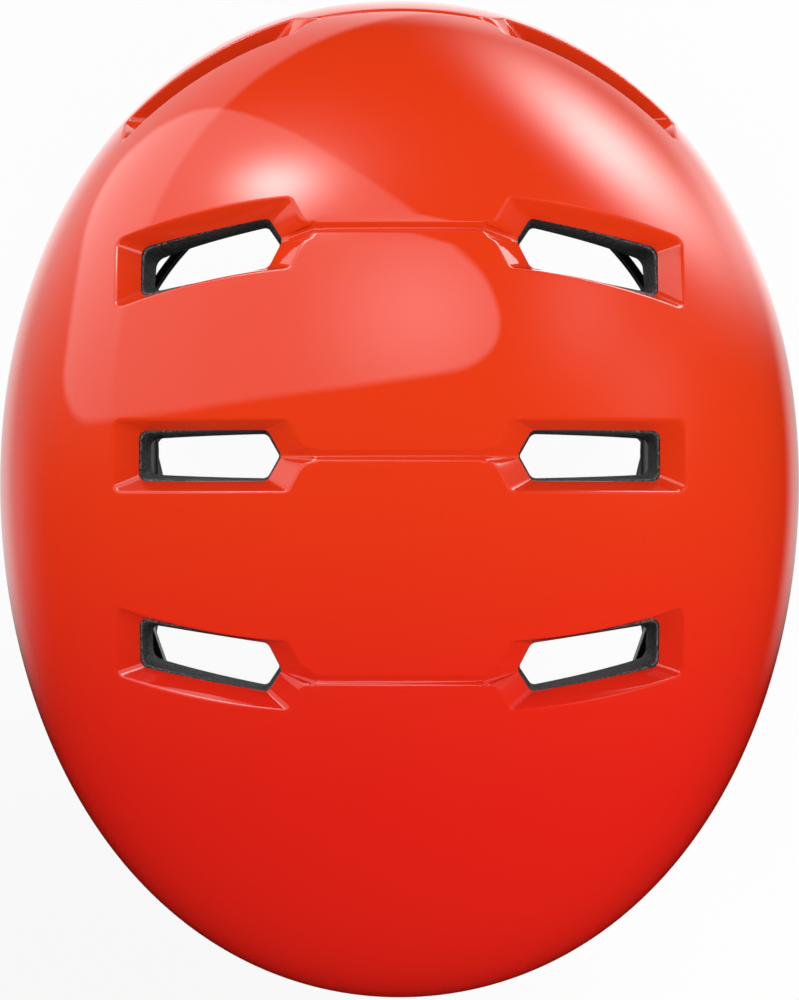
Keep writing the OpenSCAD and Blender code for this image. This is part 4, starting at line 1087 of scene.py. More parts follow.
def webbing(name, line):
    """Woven strap along a line: ribs along it, and picks that notch its edges."""
    strap = settings().strap
    run = Run(evenly(line, STRAP_PITCH / 2), (0, 1, 0))
    half, thick = mm(strap.width) / 2, mm(strap.thickness) / 2
    x = np.linspace(-1, 1, STRAP_ACROSS)
    ribs = RIB_HEIGHT * np.abs(np.sin(np.linspace(0, RIBS * np.pi, STRAP_ACROSS)))
    height = (thick - STRAP_EASE + ribs) * np.minimum(1, np.sqrt(np.maximum(1.03 - x ** 10, 0.05)))
    top = np.stack([x, height], axis=-1)
    profile = np.concatenate([top, (top * [1, -1])[::-1]])
    count, sides = len(run.s), len(profile)
    odd = np.arange(count)[:, None] % 2
    s = np.repeat(run.s, sides)
    across = ((half - STRAP_NOTCH * odd) * profile[:, 0]).ravel()
    out = ((1 - PICK_DEPTH * odd) * profile[:, 1]).ravel()
    number = np.arange(count * sides).reshape(count, sides)
    beside = np.roll(number, -1, axis=1)
    faces = quads(number[:-1], number[1:], beside[1:], beside[:-1])
    faces += [number[0][::-1].tolist(), number[-1].tolist()]
    piece = outward(mesh_object(name, run.at(s, across, out), faces))
    weave = piece.data.uv_layers.new(name="weave")
    places = np.stack([across, s], axis=-1) * MM
    corners = np.zeros(len(piece.data.loops), int)
    piece.data.loops.foreach_get("vertex_index", corners)
    weave.data.foreach_set("uv", places[corners].astype(np.float32).ravel())
    return piece


def upper_strap(name, side, end):
    """Strap from its anchor in the foam to the divider."""
    width, length = mm(settings().shell.width) / 2, mm(settings().shell.length) / 2
    if end == "front":
        line = (width - 41.6, length - 84, 0.2), on_divider(0.2, 9.5, 4)
    else:
        line = (width - 37.7, 85.5 - length, -8), on_divider(0, -8.5, 8)
    return webbing(name, np.array(line, float) * [side, 1, 1])


def fold_line(level, tail_level, tail_pieces):
    """Lines of a chin strap to its slot, and of its tail back from there."""
    u = np.linspace(0, CHIN_LAST, 400)
    ahead = np.concatenate([chin_line(level, u, 0), wrap_line(np.linspace(0, 90, 12), level, 1)])
    back = np.linspace(0, tail_pieces * CHIN_LAST / STRAP_PIECES, 200)
    lift = blend(level - tail_level, TAIL_STEP, ease(back / 1.2))
    tail = np.concatenate([wrap_line(np.linspace(90, 0, 12), tail_level, -1),
                           chin_line(level, CHIN_LAST - back, lift)])
    return ahead, tail


def make_straps():
    """Every strap's piece, body and node. The right chin strap has none, as it runs between two bodies."""
    lap = LAP_GAP + mm(settings().strap.thickness) / 2
    straps = []
    for side, word in SIDES:
        for end in ("front", "rear"):
            piece = upper_strap(f"{word}_{end}_webbing", side, end)
            straps.append((piece, "helmet", f"{word}_{end}_strap"))
    left = np.concatenate(fold_line(BASE_TOP + lap, BASE_LOW - lap, LEFT_TAIL_PIECES))
    straps.append((webbing("left_chin_webbing", left * [-1, 1, 1]), "helmet", "left_chin_strap"))
    ahead, tail = fold_line(SLIDER_HIGH + lap, SLIDER_LOW - lap, FREE_TAIL_PIECES)
    straps.append((webbing("right_chin_webbing", ahead), None, "right_chin_strap"))
    straps.append((webbing("free_tail_webbing", tail), "slider", "strap_tail"))
    return straps


# Pads

PAD_SHRINK = 0.95
PAD_SIDES = 72
PAD_POWER = 5
PAD_CROWN = 0.93
PAD_LEVELS = (0.18, 0.36, 0.54, 0.7, 0.82, 0.91, 0.97, 1)
PAD_BACK = 0.3
PAD_BACK_LEVELS = (0.9, 0.6, 0.3)
CROWN_PAD_HALF = 24
CROWN_PAD_LONG = 62
CROWN_PAD_Y = 10
RACK_THICKNESS = 2.4
CRADLE_PAD_MIDDLE = 3
CRADLE_PAD_HALF = 14
CHIN_PAD_AT = 5.95
CHIN_PAD_REACH = 0.9
CHIN_PAD_HALF = 12
CHIN_PAD_PLAY = 0.6
CLOTH_FRAMES = 20


def on_cavity(cavity, chart, height):
    """Points at a height over the cavity's wall."""
    return cavity.at(chart) - cavity.normal(chart) * height[..., None]


def dome_place(polar, polar_half, turn, turn_half, side=1):
    """Place on the cavity's wall, by the angle from the crown and the turn of its middle."""
    def place(s, t, h):
        chart = chart_points(polar + polar_half * t, np.radians(turn + turn_half * s))
        return on_cavity(Dome(PAD_BASE, CAVITY_SKIRT), chart, h) * [side, 1, 1]
    return place


def crown_place(s, t, h):
    cavity = Dome(PAD_BASE, CAVITY_SKIRT)
    y = DOME_CENTRE_Y + CROWN_PAD_Y - CROWN_PAD_LONG * t
    start = np.stack([CROWN_PAD_HALF * s, y, 0 * s + mm(settings().shell.widest)], axis=-1)
    face = cavity.along(start, np.array([0, 0, 1.0]))
    return face - cavity.normal(cavity.chart(face)) * h[..., None]


def cradle_place(s, t, h):
    cradle = settings().cradle
    depth = HOUSING_WALL + RACK_THICKNESS + PAD_FASTENER + SEAT_GAP
    return np.stack([(mm(cradle.half_width) - 1) * s, -mm(cradle.rack_back) + depth + h,
                     CRADLE_PAD_MIDDLE - CRADLE_PAD_HALF * t - mm(cradle.dial_drop)], axis=-1)


def chin_place(s, t, h):
    thick = mm(settings().strap.thickness) / 2
    level = BASE_TOP + LAP_GAP + thick
    u = CHIN_PAD_AT - CHIN_PAD_REACH * s
    _, across = chin_axes(chin_points(level), u)
    line = chin_line(level, u, -thick - CHIN_PAD_PLAY - h)
    return (line + across * (CHIN_PAD_HALF * t)[:, None]) * [-1, 1, 1]


class Pad(NamedTuple):
    """A pad: the CAD node it stands for, its body, its place on what carries it, thickness and fill."""
    node: str
    body: str
    place: object
    thickness: float
    fill: float


PADS = (
    Pad("brow_pad", "helmet", dome_place(84, 8, 90, 40), 9, 0.6),
    Pad("crown_pad", "helmet", crown_place, 7, 0.55),
    Pad("rear_pad", "helmet", dome_place(68, 12, 270, 20), 7, 0.55),
    Pad("right_side_pad", "helmet", dome_place(68, 11, -2, 17), 7, 0.55),
    Pad("left_side_pad", "helmet", dome_place(68, 11, -2, 17, -1), 7, 0.55),
    Pad("cradle_pad", "cradle", cradle_place, 5, 0.6),
    Pad("chin_pad", "helmet", chin_place, 5, 0.6),
)


def pad_loop(pad, r, h):
    """Rounded rectangle on a pad's place, at a share of the way to its edge and a height."""
    a = np.linspace(0, 2 * np.pi, PAD_SIDES, endpoint=False)
    square = 1 / (np.abs(np.cos(a)) ** PAD_POWER + np.abs(np.sin(a)) ** PAD_POWER) ** (1 / PAD_POWER)
    return pad.place(r * square * np.cos(a), r * square * np.sin(a), np.full(len(a), float(h)))


def pad_height(pad, r):
    """Height of a pad's crowned face at a share of the way to its edge."""
    return pad.thickness * PAD_CROWN * math.sqrt(max(1 - r ** 4, 0.06))


def pad_core(pad):
    """Closed cushion a little smaller than its space, before it is filled."""
    rows = [pad_loop(pad, r * PAD_SHRINK, pad_height(pad, r)) for r in PAD_LEVELS]
    rows += [pad_loop(pad, 0.99 * PAD_SHRINK, 0.1 * pad.thickness)]
    rows += [pad_loop(pad, r * PAD_SHRINK, PAD_BACK) for r in PAD_BACK_LEVELS]
    zero = np.zeros(1)
    top, back = pad.place(zero, zero, zero + pad_height(pad, 0)), pad.place(zero, zero, zero + PAD_BACK)
    points = np.concatenate([top] + rows + [back])
    faces = []
    last = len(points) - 1
    for i in range(PAD_SIDES):
        j = (i + 1) % PAD_SIDES
        faces.append((0, 1 + i, 1 + j))
        for k in range(len(rows) - 1):
            a = 1 + k * PAD_SIDES
            faces.append((a + i, a + PAD_SIDES + i, a + PAD_SIDES + j, a + j))
        faces.append((last - PAD_SIDES + i, last, last - PAD_SIDES + j))
    return outward(mesh_object(pad.node + "_cushion", points, faces))


def baked(piece):
    """Replace a piece's mesh by what its modifiers make of it."""
    graph = bpy.context.evaluated_depsgraph_get()
    mesh = bpy.data.meshes.new_from_object(piece.evaluated_get(graph), depsgraph=graph)
    piece.modifiers.clear()
    piece.data = mesh
    return piece


def positions(mesh):
    flat = np.zeros(len(mesh.vertices) * 3, np.float32)
    mesh.vertices.foreach_get("co", flat)
    return flat.reshape(-1, 3).astype(float)


def fill_pads(pieces, voxel=0.0032, cap=0.0011):
    """Remesh the cushions and blow them up a little as cloth. No point moves further than cap."""
    for piece in pieces:
        grid = piece.modifiers.new("even cloth", "REMESH")
        grid.mode = "VOXEL"
        grid.voxel_size = voxel
        baked(piece)
        piece.data.shade_smooth()
    starts = [positions(p.data) for p in pieces]
    for piece in pieces:
        cloth = piece.modifiers.new("cover", "CLOTH")
        cloth.settings.use_pressure = True
        cloth.settings.uniform_pressure_force = 4
        cloth.settings.effector_weights.gravity = 0
        cloth.settings.quality = 5
    scene = bpy.context.scene
    for number in range(1, CLOTH_FRAMES + 1):
        scene.frame_set(number)
    for piece, start in zip(pieces, starts):
        baked(piece)
        move = positions(piece.data) - start
        far = np.linalg.norm(move, axis=1, keepdims=True)
        move *= np.minimum(1, cap / np.maximum(far, 1e-9))
        piece.data.vertices.foreach_set("co", (start + move).astype(np.float32).ravel())
    scene.frame_set(1)
    for piece in pieces:
        smooth = piece.modifiers.new("rounder", "SUBSURF")
        smooth.levels = smooth.render_levels = 1
        baked(piece)
        piece.data.shade_smooth()


def snapped(piece, line, lift):
    """A line laid on a piece's surface and lifted off it by some millimetres."""
    spots = []
    for p in line:
        found, near, facing, _ = piece.closest_point_on_mesh(Vector(p * MM))
        spots.append(np.array(near + facing * lift * MM) / MM if found else p)
    return np.array(spots)


def make_pads():
    cushions = [pad_core(pad) for pad in PADS]
    fill_pads(cushions)
    return cushions


# Trees of nodes

class Wire:
    """A socket of a tree, on which arithmetic adds Math nodes."""

    def __init__(self, tree, socket):
        self.tree = tree
        self.socket = socket

    def math(self, operation, *others):
        return self.tree.add("ShaderNodeMath", {"operation": operation}, self, *others)

    def __add__(self, other):
        return self.math("ADD", other)

    def __radd__(self, other):
        return self.tree.add("ShaderNodeMath", {"operation": "ADD"}, other, self)

    def __sub__(self, other):
        return self.math("SUBTRACT", other)

    def __rsub__(self, other):
        return self.tree.add("ShaderNodeMath", {"operation": "SUBTRACT"}, other, self)

    def __mul__(self, other):
        return self.math("MULTIPLY", other)

    def __rmul__(self, other):
        return self.math("MULTIPLY", other)

    def __abs__(self):
        return self.math("ABSOLUTE")

    def smooth(self, low, high):
        """0 below low, 1 above high, and smooth between them."""
        return self.tree.add("ShaderNodeMapRange", {"interpolation_type": "SMOOTHSTEP"},
                             self, low, high, 0.0, 1.0)


class Tree:
    """Short way to build a tree of shader or geometry nodes."""

    def __init__(self, node_tree):
        self.nodes = node_tree.nodes
        self.links = node_tree.links
        self.nodes.clear()

    def add(self, kind, options=None, *values, output=0, **named):
        """A node with its settings and the values or links of its sockets, by order or by name."""
        node = self.nodes.new(kind)
        for key, value in (options or {}).items():
            setattr(node, key, value)
        pairs = [(node.inputs[k], v) for k, v in enumerate(values)]
        pairs += [(node.inputs[k.replace("_", " ")], v) for k, v in named.items()]
        for socket, value in pairs:
            if isinstance(value, Wire):
                self.links.new(value.socket, socket)
            elif value is not None:
                socket.default_value = value
        return Wire(self, node.outputs[output])

    def mix(self, factor, a, b, mode="MIX"):
        """Colours mixed by a factor."""
        node = self.nodes.new("ShaderNodeMix")
        node.data_type = "RGBA"
        node.blend_type = mode
        for socket, value in ((node.inputs[0], factor), (node.inputs[6], a), (node.inputs[7], b)):
            if isinstance(value, Wire):
                self.links.new(value.socket, socket)
            else:
                socket.default_value = value
        return Wire(self, node.outputs[2])

    def noise(self, vector, scale, detail=2.0, roughness=0.5):
        return self.add("ShaderNodeTexNoise", None, Vector=vector, Scale=scale, Detail=detail,
                        Roughness=roughness)

    def bump(self, height, strength, distance):
        return self.add("ShaderNodeBump", None, Strength=strength, Distance=distance, Height=height)

    def output(self, wire, kind="ShaderNodeOutputMaterial"):
        self.links.new(wire.socket, self.nodes.new(kind).inputs[0])


# Threads and beads that follow a line, made with Geometry Nodes

def line_tree(name, words, build):
    """Geometry tree that works on a curve made of its mesh's edges, with named sizes, and its sockets."""
    group = bpy.data.node_groups.new(name, "GeometryNodeTree")

    def socket(word, kind="Float", way="INPUT"):
        return group.interface.new_socket(word, in_out=way, socket_type="NodeSocket" + kind).identifier

    socket("Geometry", "Geometry")
    sockets = {word: socket(word) for word in words}
    sockets["Material"] = socket("Material", "Material")
    socket("Geometry", "Geometry", "OUTPUT")
    tree = Tree(group)
    start = tree.nodes.new("NodeGroupInput")
    given = {word: Wire(tree, start.outputs[word]) for word in ("Geometry", *sockets)}
    made = build(tree, tree.add("GeometryNodeMeshToCurve", Mesh=given["Geometry"]), given)
    real = tree.add("GeometryNodeRealizeInstances", None, made)
    painted = tree.add("GeometryNodeSetMaterial", Geometry=real, Material=given["Material"])
    tree.output(painted, "NodeGroupOutput")
    return group, sockets


def stitches(tree, curve, given):
    """Short stitches at an even pitch."""
    even = tree.add("GeometryNodeResampleCurve", {"mode": "LENGTH"}, Curve=curve, Length=given["Pitch"])
    stitch = tree.add("GeometryNodeMeshUVSphere", Segments=8, Rings=6, Radius=1)
    tangent = tree.add("GeometryNodeInputTangent")
    turn = tree.add("FunctionNodeAlignRotationToVector", {"axis": "Z"}, Vector=tangent)
    radius = given["Thread radius"]
    shape = tree.add("ShaderNodeCombineXYZ", None, radius, radius, given["Stitch length"] * 0.5)
    return tree.add("GeometryNodeInstanceOnPoints", Points=even, Instance=stitch, Rotation=turn, Scale=shape)


def bead(tree, curve, given):
    """Round bead along the curve."""
    profile = tree.add("GeometryNodeCurvePrimitiveCircle", Resolution=10, Radius=given["Bead radius"])
    return tree.add("GeometryNodeCurveToMesh", Curve=curve, Profile_Curve=profile)


def along_loop(name, loop, line_work, values):
    """Run a geometry tree over a closed loop of points in millimetres."""
    group, sockets = line_work
    count = len(loop)
    mesh = bpy.data.meshes.new(name)
    mesh.from_pydata((loop * MM).tolist(), [(i, (i + 1) % count) for i in range(count)], [])
    piece = put(name, mesh)
    made = piece.modifiers.new("line work", "NODES")
    made.node_group = group
    for word, value in values.items():
        made[sockets[word]] = value
    baked(piece)
    piece.data.shade_smooth()
    return piece


# Materials

def rgba(colour):
    return (colour[0], colour[1], colour[2], 1.0)


def lighter(colour, factor):
    return tuple(min(c * factor, 1.0) for c in colour) + (1.0,)


def material(name, build):
    made = bpy.data.materials.new(name)
    made.use_nodes = True
    tree = Tree(made.node_tree)
    tree.output(build(tree))
    return made


def place(tree):
    """Object coordinates in metres."""
    return tree.add("ShaderNodeTexCoord", output="Object")


def axes(tree, vector):
    node = tree.nodes.new("ShaderNodeSeparateXYZ")
    tree.links.new(vector.socket, node.inputs[0])
    return [Wire(tree, out) for out in node.outputs]


def principled(tree, **named):
    return tree.add("ShaderNodeBsdfPrincipled", None, **named)


def shell_paint(tree):
    """Red lacquer under clear coat with a faint mottle in the pigment; the front is painted light, a lit and
    more orange copy of the rear red.
    """
    colours = settings().colours
    at = place(tree)
    _, y, _ = axes(tree, at)
    # Painted light: the paint turns from the rear red to a lit, more orange red towards the front
    painted_front_light = y.smooth(-0.09, 0.03)
    colour = tree.mix(painted_front_light, rgba(colours.shell_rear), rgba(colours.shell_front))
    mottle = tree.noise(at, 900.0, 1.0)
    colour = tree.mix(mottle * 0.12, colour, lighter(colours.shell_front, 0.75))
    return principled(tree, Base_Color=colour, Roughness=0.5, Specular_IOR_Level=0.0, Coat_Weight=1.0,
                      Coat_Roughness=0.02, Coat_IOR=1.5)


def bead_foam(tree):
    """Charcoal bead foam: fused beads a few millimetres wide, each of its own shade."""
    colours = settings().colours
    at = place(tree)
    bead = tree.add("ShaderNodeTexVoronoi", {"feature": "F1"}, Vector=at, Scale=430.0, Randomness=0.9)
    seam = tree.add("ShaderNodeTexVoronoi", {"feature": "DISTANCE_TO_EDGE"}, Vector=at, Scale=430.0,
                    Randomness=0.9)
    grain = tree.noise(at, 1500.0, 3.0)
    shade = seam.smooth(0.0, 0.16) * 0.3 + grain.smooth(0.4, 0.64) * 0.8
    colour = tree.mix(shade, lighter(colours.foam, 0.25), lighter(colours.foam, 2.8))
    height = seam.smooth(0.0, 0.2) * 0.7 + grain * 0.35 - bead * 0.3
    return principled(tree, Base_Color=colour, Roughness=0.72 + grain * 0.15,
                      Normal=tree.bump(height, 0.55, 0.0006))


def speckled(tree, patches, rough, grain):
    """Plastic or rubber. patches holds two shades and the scale of their patches, rough a roughness,
    how far it varies and the scale of that, and grain a noise's scale and detail and a bump's strength
    and distance."""
    at = place(tree)
    dark, light, patch_scale = patches
    least, spread, rough_scale = rough
    scale, detail, strength, distance = grain
    return principled(tree, Base_Color=tree.mix(tree.noise(at, patch_scale), dark, light),
                      Roughness=least + tree.noise(at, rough_scale) * spread,
                      Normal=tree.bump(tree.noise(at, scale, detail), strength, distance))


def moulded_plastic(tree):
    """Black nylon with a fine spark-eroded grain."""
    black = settings().colours.plastic
    return speckled(tree, (lighter(black, 0.8), lighter(black, 1.5), 300.0), (0.38, 0.16, 180.0),
                    (2600.0, 2.0, 0.22, 0.00012))


def edge_rubber(tree):
    """Satin black rubber of the edge bead."""
    black = settings().colours.plastic
    return speckled(tree, (lighter(black, 0.9), lighter(black, 1.5), 90.0), (0.42, 0.16, 240.0),
                    (1500.0, 2.0, 0.15, 0.0001))


def soft_rubber(tree):
    """Matt black rubber with a fine speckle."""
    return speckled(tree, ((0.017, 0.017, 0.018, 1), (0.034, 0.034, 0.036, 1), 500.0), (0.66, 0.14, 700.0),
                    (1800.0, 3.0, 0.3, 0.00015))


def acetal(tree):
    """Natural white acetal with a satin face."""
    return speckled(tree, ((0.66, 0.65, 0.61, 1), (0.76, 0.75, 0.72, 1), 120.0), (0.34, 0.1, 300.0),
                    (900.0, 2.0, 0.08, 0.0001))


def bright_steel(tree):
    """Turned steel with fine rings of tool marks."""
    at = place(tree)
    marks = tree.noise(at, 2200.0, 2.0)
    colour = tree.mix(marks, (0.5, 0.5, 0.51, 1), (0.66, 0.66, 0.67, 1))
    return principled(tree, Base_Color=colour, Metallic=1.0, Roughness=0.24 + marks * 0.14,
                      Normal=tree.bump(marks, 0.1, 0.00005))


def nickel_plate(tree):
    """Bright plating with a faint cloudiness."""
    at = place(tree)
    cloud = tree.noise(at, 260.0)
    colour = tree.mix(cloud, (0.55, 0.54, 0.51, 1), (0.66, 0.65, 0.62, 1))
    return principled(tree, Base_Color=colour, Metallic=1.0, Roughness=0.12 + cloud * 0.12)


def pad_cloth(tree):
    """Knitted cover: small offset loops in rows, with a soft nap."""
    cloth = settings().colours.cloth
    at = place(tree)
    x, y, z = axes(tree, at)
    course = ((x + z * 0.6) * 5200.0).math("SINE")
    wale = ((y - z * 0.6) * 4300.0).math("SINE")
    loop = (course * wale) * 0.5 + 0.5
    nap = tree.noise(at, 2400.0, 3.0)
    colour = tree.mix(loop * 0.55 + nap * 0.45, lighter(cloth, 0.55), lighter(cloth, 1.75))
    return principled(tree, Base_Color=colour, Roughness=0.86 + nap * 0.1, Sheen_Weight=0.25,
                      Sheen_Roughness=0.4, Normal=tree.bump(loop * 0.7 + nap * 0.4, 0.6, 0.0003))


def woven_webbing(tree):
    """Polyester webbing: slanting picks in ribs that run along the strap."""
    grey = settings().colours.webbing
    across, along, _ = axes(tree, tree.add("ShaderNodeUVMap", {"uv_map": "weave"}))
    rib = (across * (2 * math.pi / (RIB_PITCH * MM))).math("SINE") * 0.5 + 0.5
    pick = ((along + abs(across) * 0.6) * (2 * math.pi / (STRAP_PITCH * MM))).math("SINE") * 0.5 + 0.5
    yarn = rib * 0.6 + pick * 0.4
    fuzz = tree.noise(place(tree), 2600.0, 3.0)
    colour = tree.mix(yarn * 0.7 + fuzz * 0.3, lighter(grey, 0.45), lighter(grey, 1.8))
    return principled(tree, Base_Color=colour, Roughness=0.62 + fuzz * 0.2, Sheen_Weight=0.15,
                      Normal=tree.bump(yarn + fuzz * 0.3, 0.7, 0.00025))


def thread(tree):
    """Twisted sewing thread."""
    grey = settings().colours.thread
    twist = tree.noise(place(tree), 3800.0, 2.0)
    return principled(tree, Base_Color=tree.mix(twist, lighter(grey, 0.7), lighter(grey, 1.4)),
                      Roughness=0.6 + twist * 0.2)


MAKERS = {
    "shell paint": shell_paint,
    "bead foam": bead_foam,
    "moulded plastic": moulded_plastic,
    "edge rubber": edge_rubber,
    "soft rubber": soft_rubber,
    "acetal": acetal,
    "bright steel": bright_steel,
    "nickel plate": nickel_plate,
    "pad cloth": pad_cloth,
    "webbing": woven_webbing,
    "thread": thread,
}


def finish(name):
    """The material of a finish, made once."""
    return bpy.data.materials.get(name) or material(name, MAKERS[name])


# Operators, one for each group of pieces

def settle(piece, finish_name, slot, body, *nodes, bend=None):
    """Give a piece its finish and its body, in place of the CAD nodes that it stands for. slot is not used.
    bend names a second body and the points between which the piece passes from the first body to it; these
    are not used, and with bend the piece is attached to no body and only its place is baked into its mesh."""
    piece.data.materials.clear()
    piece.data.materials.append(finish(finish_name))
    if bend:
        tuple(bend[1])
        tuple(bend[2])
        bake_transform(piece)
    else:
        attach(piece, body)
    if nodes:
        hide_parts(*nodes)
    return piece


class HELMET_OT_shell(bpy.types.Operator):
    """Build the glossy outer shell with its recessed vents and crown grooves"""
    bl_idname = "helmet.shell"
    bl_label = "Outer shell"

    def execute(self, context):
        settle(make_shell(), "shell paint", "shell_red", "helmet", "outer_shell")
        return {"FINISHED"}


class HELMET_OT_foam(bpy.types.Operator):
    """Build the bead foam liner"""
    bl_idname = "helmet.foam"
    bl_label = "Foam liner"

    def execute(self, context):
        settle(make_foam(), "bead foam", "foam", "helmet", "foam_liner")
        return {"FINISHED"}


CAD_FINISHES = {
    "moulded plastic": ("liner_studs", "band_rivets", "cradle_back", "cradle_cover", "hanger_rivet",
                        "strap_anchors", "left_divider", "right_divider", "left_divider_flap",
                        "right_divider_flap", "buckle_base", "buckle_slider", "left_rack", "right_rack"),
    "acetal": ("drive_pinion", "detent_spring"),
    "soft rubber": ("dial_knob", "strap_keeper"),
    "bright steel": ("cradle_screws", "dial_screw", "divider_pins"),
    "nickel plate": ("base_magnet", "slider_magnet"),
}


class HELMET_OT_trim(bpy.types.Operator):
    """Build the rubber bead along the helmet's edge"""
    bl_idname = "helmet.trim"
    bl_label = "Edge bead"

    def execute(self, context):
        settle(make_trim(), "edge rubber", "trim_black", "helmet", "edge_trim")
        return {"FINISHED"}


class HELMET_OT_ring(bpy.types.Operator):
    """Build the head ring, its side bands and the strap that hangs the cradle"""
    bl_idname = "helmet.ring"
    bl_label = "Head ring and bands"

    def execute(self, context):
        settle(make_front_ring(), "moulded plastic", "black_plastic", "helmet", "front_ring")
        for side, word in SIDES:
            piece = make_ring_band(side)
            piece.name = f"{word}_side_band"
            bend = (f"{word}_rack", (side * 0.076, -0.012, 0.004), (side * 0.046, -0.094, -0.052))
            settle(piece, "moulded plastic", "black_plastic", "helmet", f"{word}_ring_band", bend=bend)
        bend = ("cradle", (0, -0.106, -0.014), (0, -0.0955, -0.038))
        settle(make_hanger(), "moulded plastic", "black_plastic", "helmet", "cradle_hanger", bend=bend)
        return {"FINISHED"}


class HELMET_OT_straps(bpy.types.Operator):
    """Weave the straps"""
    bl_idname = "helmet.straps"
    bl_label = "Straps"

    def execute(self, context):
        for piece, body, node in make_straps():
            bend = None if body else ("slider", (0.076, -0.003, -0.104), (0.048, 0.042, -0.129))
            settle(piece, "webbing", "webbing", body or "helmet", node, bend=bend)
        return {"FINISHED"}


class HELMET_OT_pads(bpy.types.Operator):
    """Fill the pads and give them their piping and stitches"""
    bl_idname = "helmet.pads"
    bl_label = "Pads"

    def execute(self, context):
        sewing = line_tree("stitch row", ("Pitch", "Stitch length", "Thread radius"), stitches)
        piping = line_tree("bead", ("Bead radius",), bead)
        for pad, piece in zip(PADS, make_pads()):
            settle(piece, "pad cloth", "pad_cloth", pad.body, pad.node)
            rim = snapped(piece, pad_loop(pad, 0.99, 0.32 * pad.thickness), 0.15)
            welt = along_loop(pad.node + "_welt", rim, piping,
                              {"Bead radius": 0.00065, "Material": finish("pad cloth")})
            row = snapped(piece, pad_loop(pad, 0.9, 0.8 * pad.thickness), 0.1)
            sewn = along_loop(pad.node + "_stitches", row, sewing,
                              {"Pitch": 0.0032, "Stitch length": 0.0024, "Thread radius": 0.00032,
                               "Material": finish("thread")})
            for extra, slot in ((welt, "pad_cloth"), (sewn, "webbing")):
                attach(extra, pad.body)
        return {"FINISHED"}


class HELMET_OT_fittings(bpy.types.Operator):
    """Give the buckle, dividers, dial, racks and fasteners their materials"""
    bl_idname = "helmet.fittings"
    bl_label = "Fittings"

    def execute(self, context):
        for name, nodes in CAD_FINISHES.items():
            for node in nodes:
                for slot in CAD[node].material_slots:
                    slot.material = finish(name)
        return {"FINISHED"}


# Stage

# Directions from which less and more of the even light comes, and the middle of a painted shade spot on the
# floor in metres, which darkens the bounce onto the helmet's rear left
DARK_SIDE = (-0.36, -0.93, -0.05)
LEFT_SIDE = (-0.94, 0.34, 0.0)
FLOOR_SHADE_SPOT = (-0.11, -0.19, -0.15)
FLOOR_REACH = 3.0
FLOOR_GAP = 0.002
CAMERA_Y = -3.6
LAMP_AIM = (0, 0, 40)
LAMP_SIZE = 1.2

# What the gloss reflects is laid out by the slope of the surface that shows it to a viewer above:
# a slope of 0 is level, and a length of 1 stands upright
SOFTBOX_SIDES = ((0.03, -1.0, -0.12), (0.18, -0.98, -0.135), (0.97, -0.23, 0.155), (0.63, 0.776, 0.355),
                 (0.44, 0.9, 0.48), (0.1, 0.995, 0.66), (-0.6, 0.8, 0.9), (-0.99, 0.1, 0.83))
SOFTBOX_CORNER = 0.09
SOFTBOX_BLUR = 0.01
SOFTBOX_LEVEL = 1.05
SIDE_PANEL = (0.18, 0.1)
SIDE_PANEL_REACH = 0.855
SIDE_PANEL_LEVEL = 0.8


class Patch(NamedTuple):
    """Soft spot of light over the slope: its middle, its width and height, its strength and its turn."""
    centre: tuple
    wide: float
    tall: float
    strength: float
    turn: float = 0.0


SOFTBOX_PATCHES = (Patch((0.04, 0.26), 0.17, 0.13, 2.2), Patch((-0.55, 0.3), 0.25, 0.25, 0.3))
PATCHES = (
    Patch((-0.27, 0.5), 0.1, 0.055, 12.0),
    Patch((-0.26, 0.52), 0.2, 0.12, 1.6),
    Patch((0.5, 0.6), 0.25, 0.075, 10.0, -38.0),
    Patch((0.75, 0.4), 0.2, 0.14, 0.6),
    Patch((0.4, 0.28), 0.12, 0.12, 1.0),
    Patch((0.56, 0.14), 0.12, 0.1, 0.6),
    Patch((-0.97, -0.05), 0.06, 0.22, 0.5),
)


def area_light(name, place_mm, power):
    """Square lamp aimed at the helmet, which the gloss doesn't show."""
    lamp = bpy.data.lights.new(name, "AREA")
    lamp.shape = "RECTANGLE"
    lamp.size = lamp.size_y = LAMP_SIZE
    lamp.energy = power
    thing = put(name, lamp)
    thing.location = Vector(place_mm) * MM
    thing.rotation_euler = (Vector(LAMP_AIM) * MM - thing.location).to_track_quat("-Z", "Y").to_euler()
    thing.visible_glossy = False


class Slope:
    """Shapes drawn over the slope of the surface."""

    def __init__(self, x, y):
        self.x = x
        self.y = y

    def patch(self, patch):
        """The light of a soft spot."""
        c, s = math.cos(math.radians(patch.turn)), math.sin(math.radians(patch.turn))
        x, y = self.x - patch.centre[0], self.y - patch.centre[1]
        along = (x * c + y * s) * (1 / patch.wide)
        across = (y * c - x * s) * (1 / patch.tall)
        return ((along * along + across * across) * -1.0).math("EXPONENT") * patch.strength

    def softbox(self):
        """Rounded shape with straight sides, 1 inside and 0 outside."""
        total = 0.0
        for a, b, reach in SOFTBOX_SIDES:
            past = (self.x * a + self.y * b + (SOFTBOX_CORNER - reach)).math("MAXIMUM", 0.0)
            total = past * past + total
        past = total.math("SQRT") - SOFTBOX_CORNER
        return 1.0 - past.smooth(-SOFTBOX_BLUR, SOFTBOX_BLUR)

    def distance(self, centre=(0.0, 0.0)):
        x, y = self.x - centre[0], self.y - centre[1]
        return (x * x + y * y).math("SQRT")

    def outside(self, centre, reach):
        """1 outside a circle and 0 inside it."""
        return self.distance(centre).smooth(reach - SOFTBOX_BLUR, reach + SOFTBOX_BLUR)


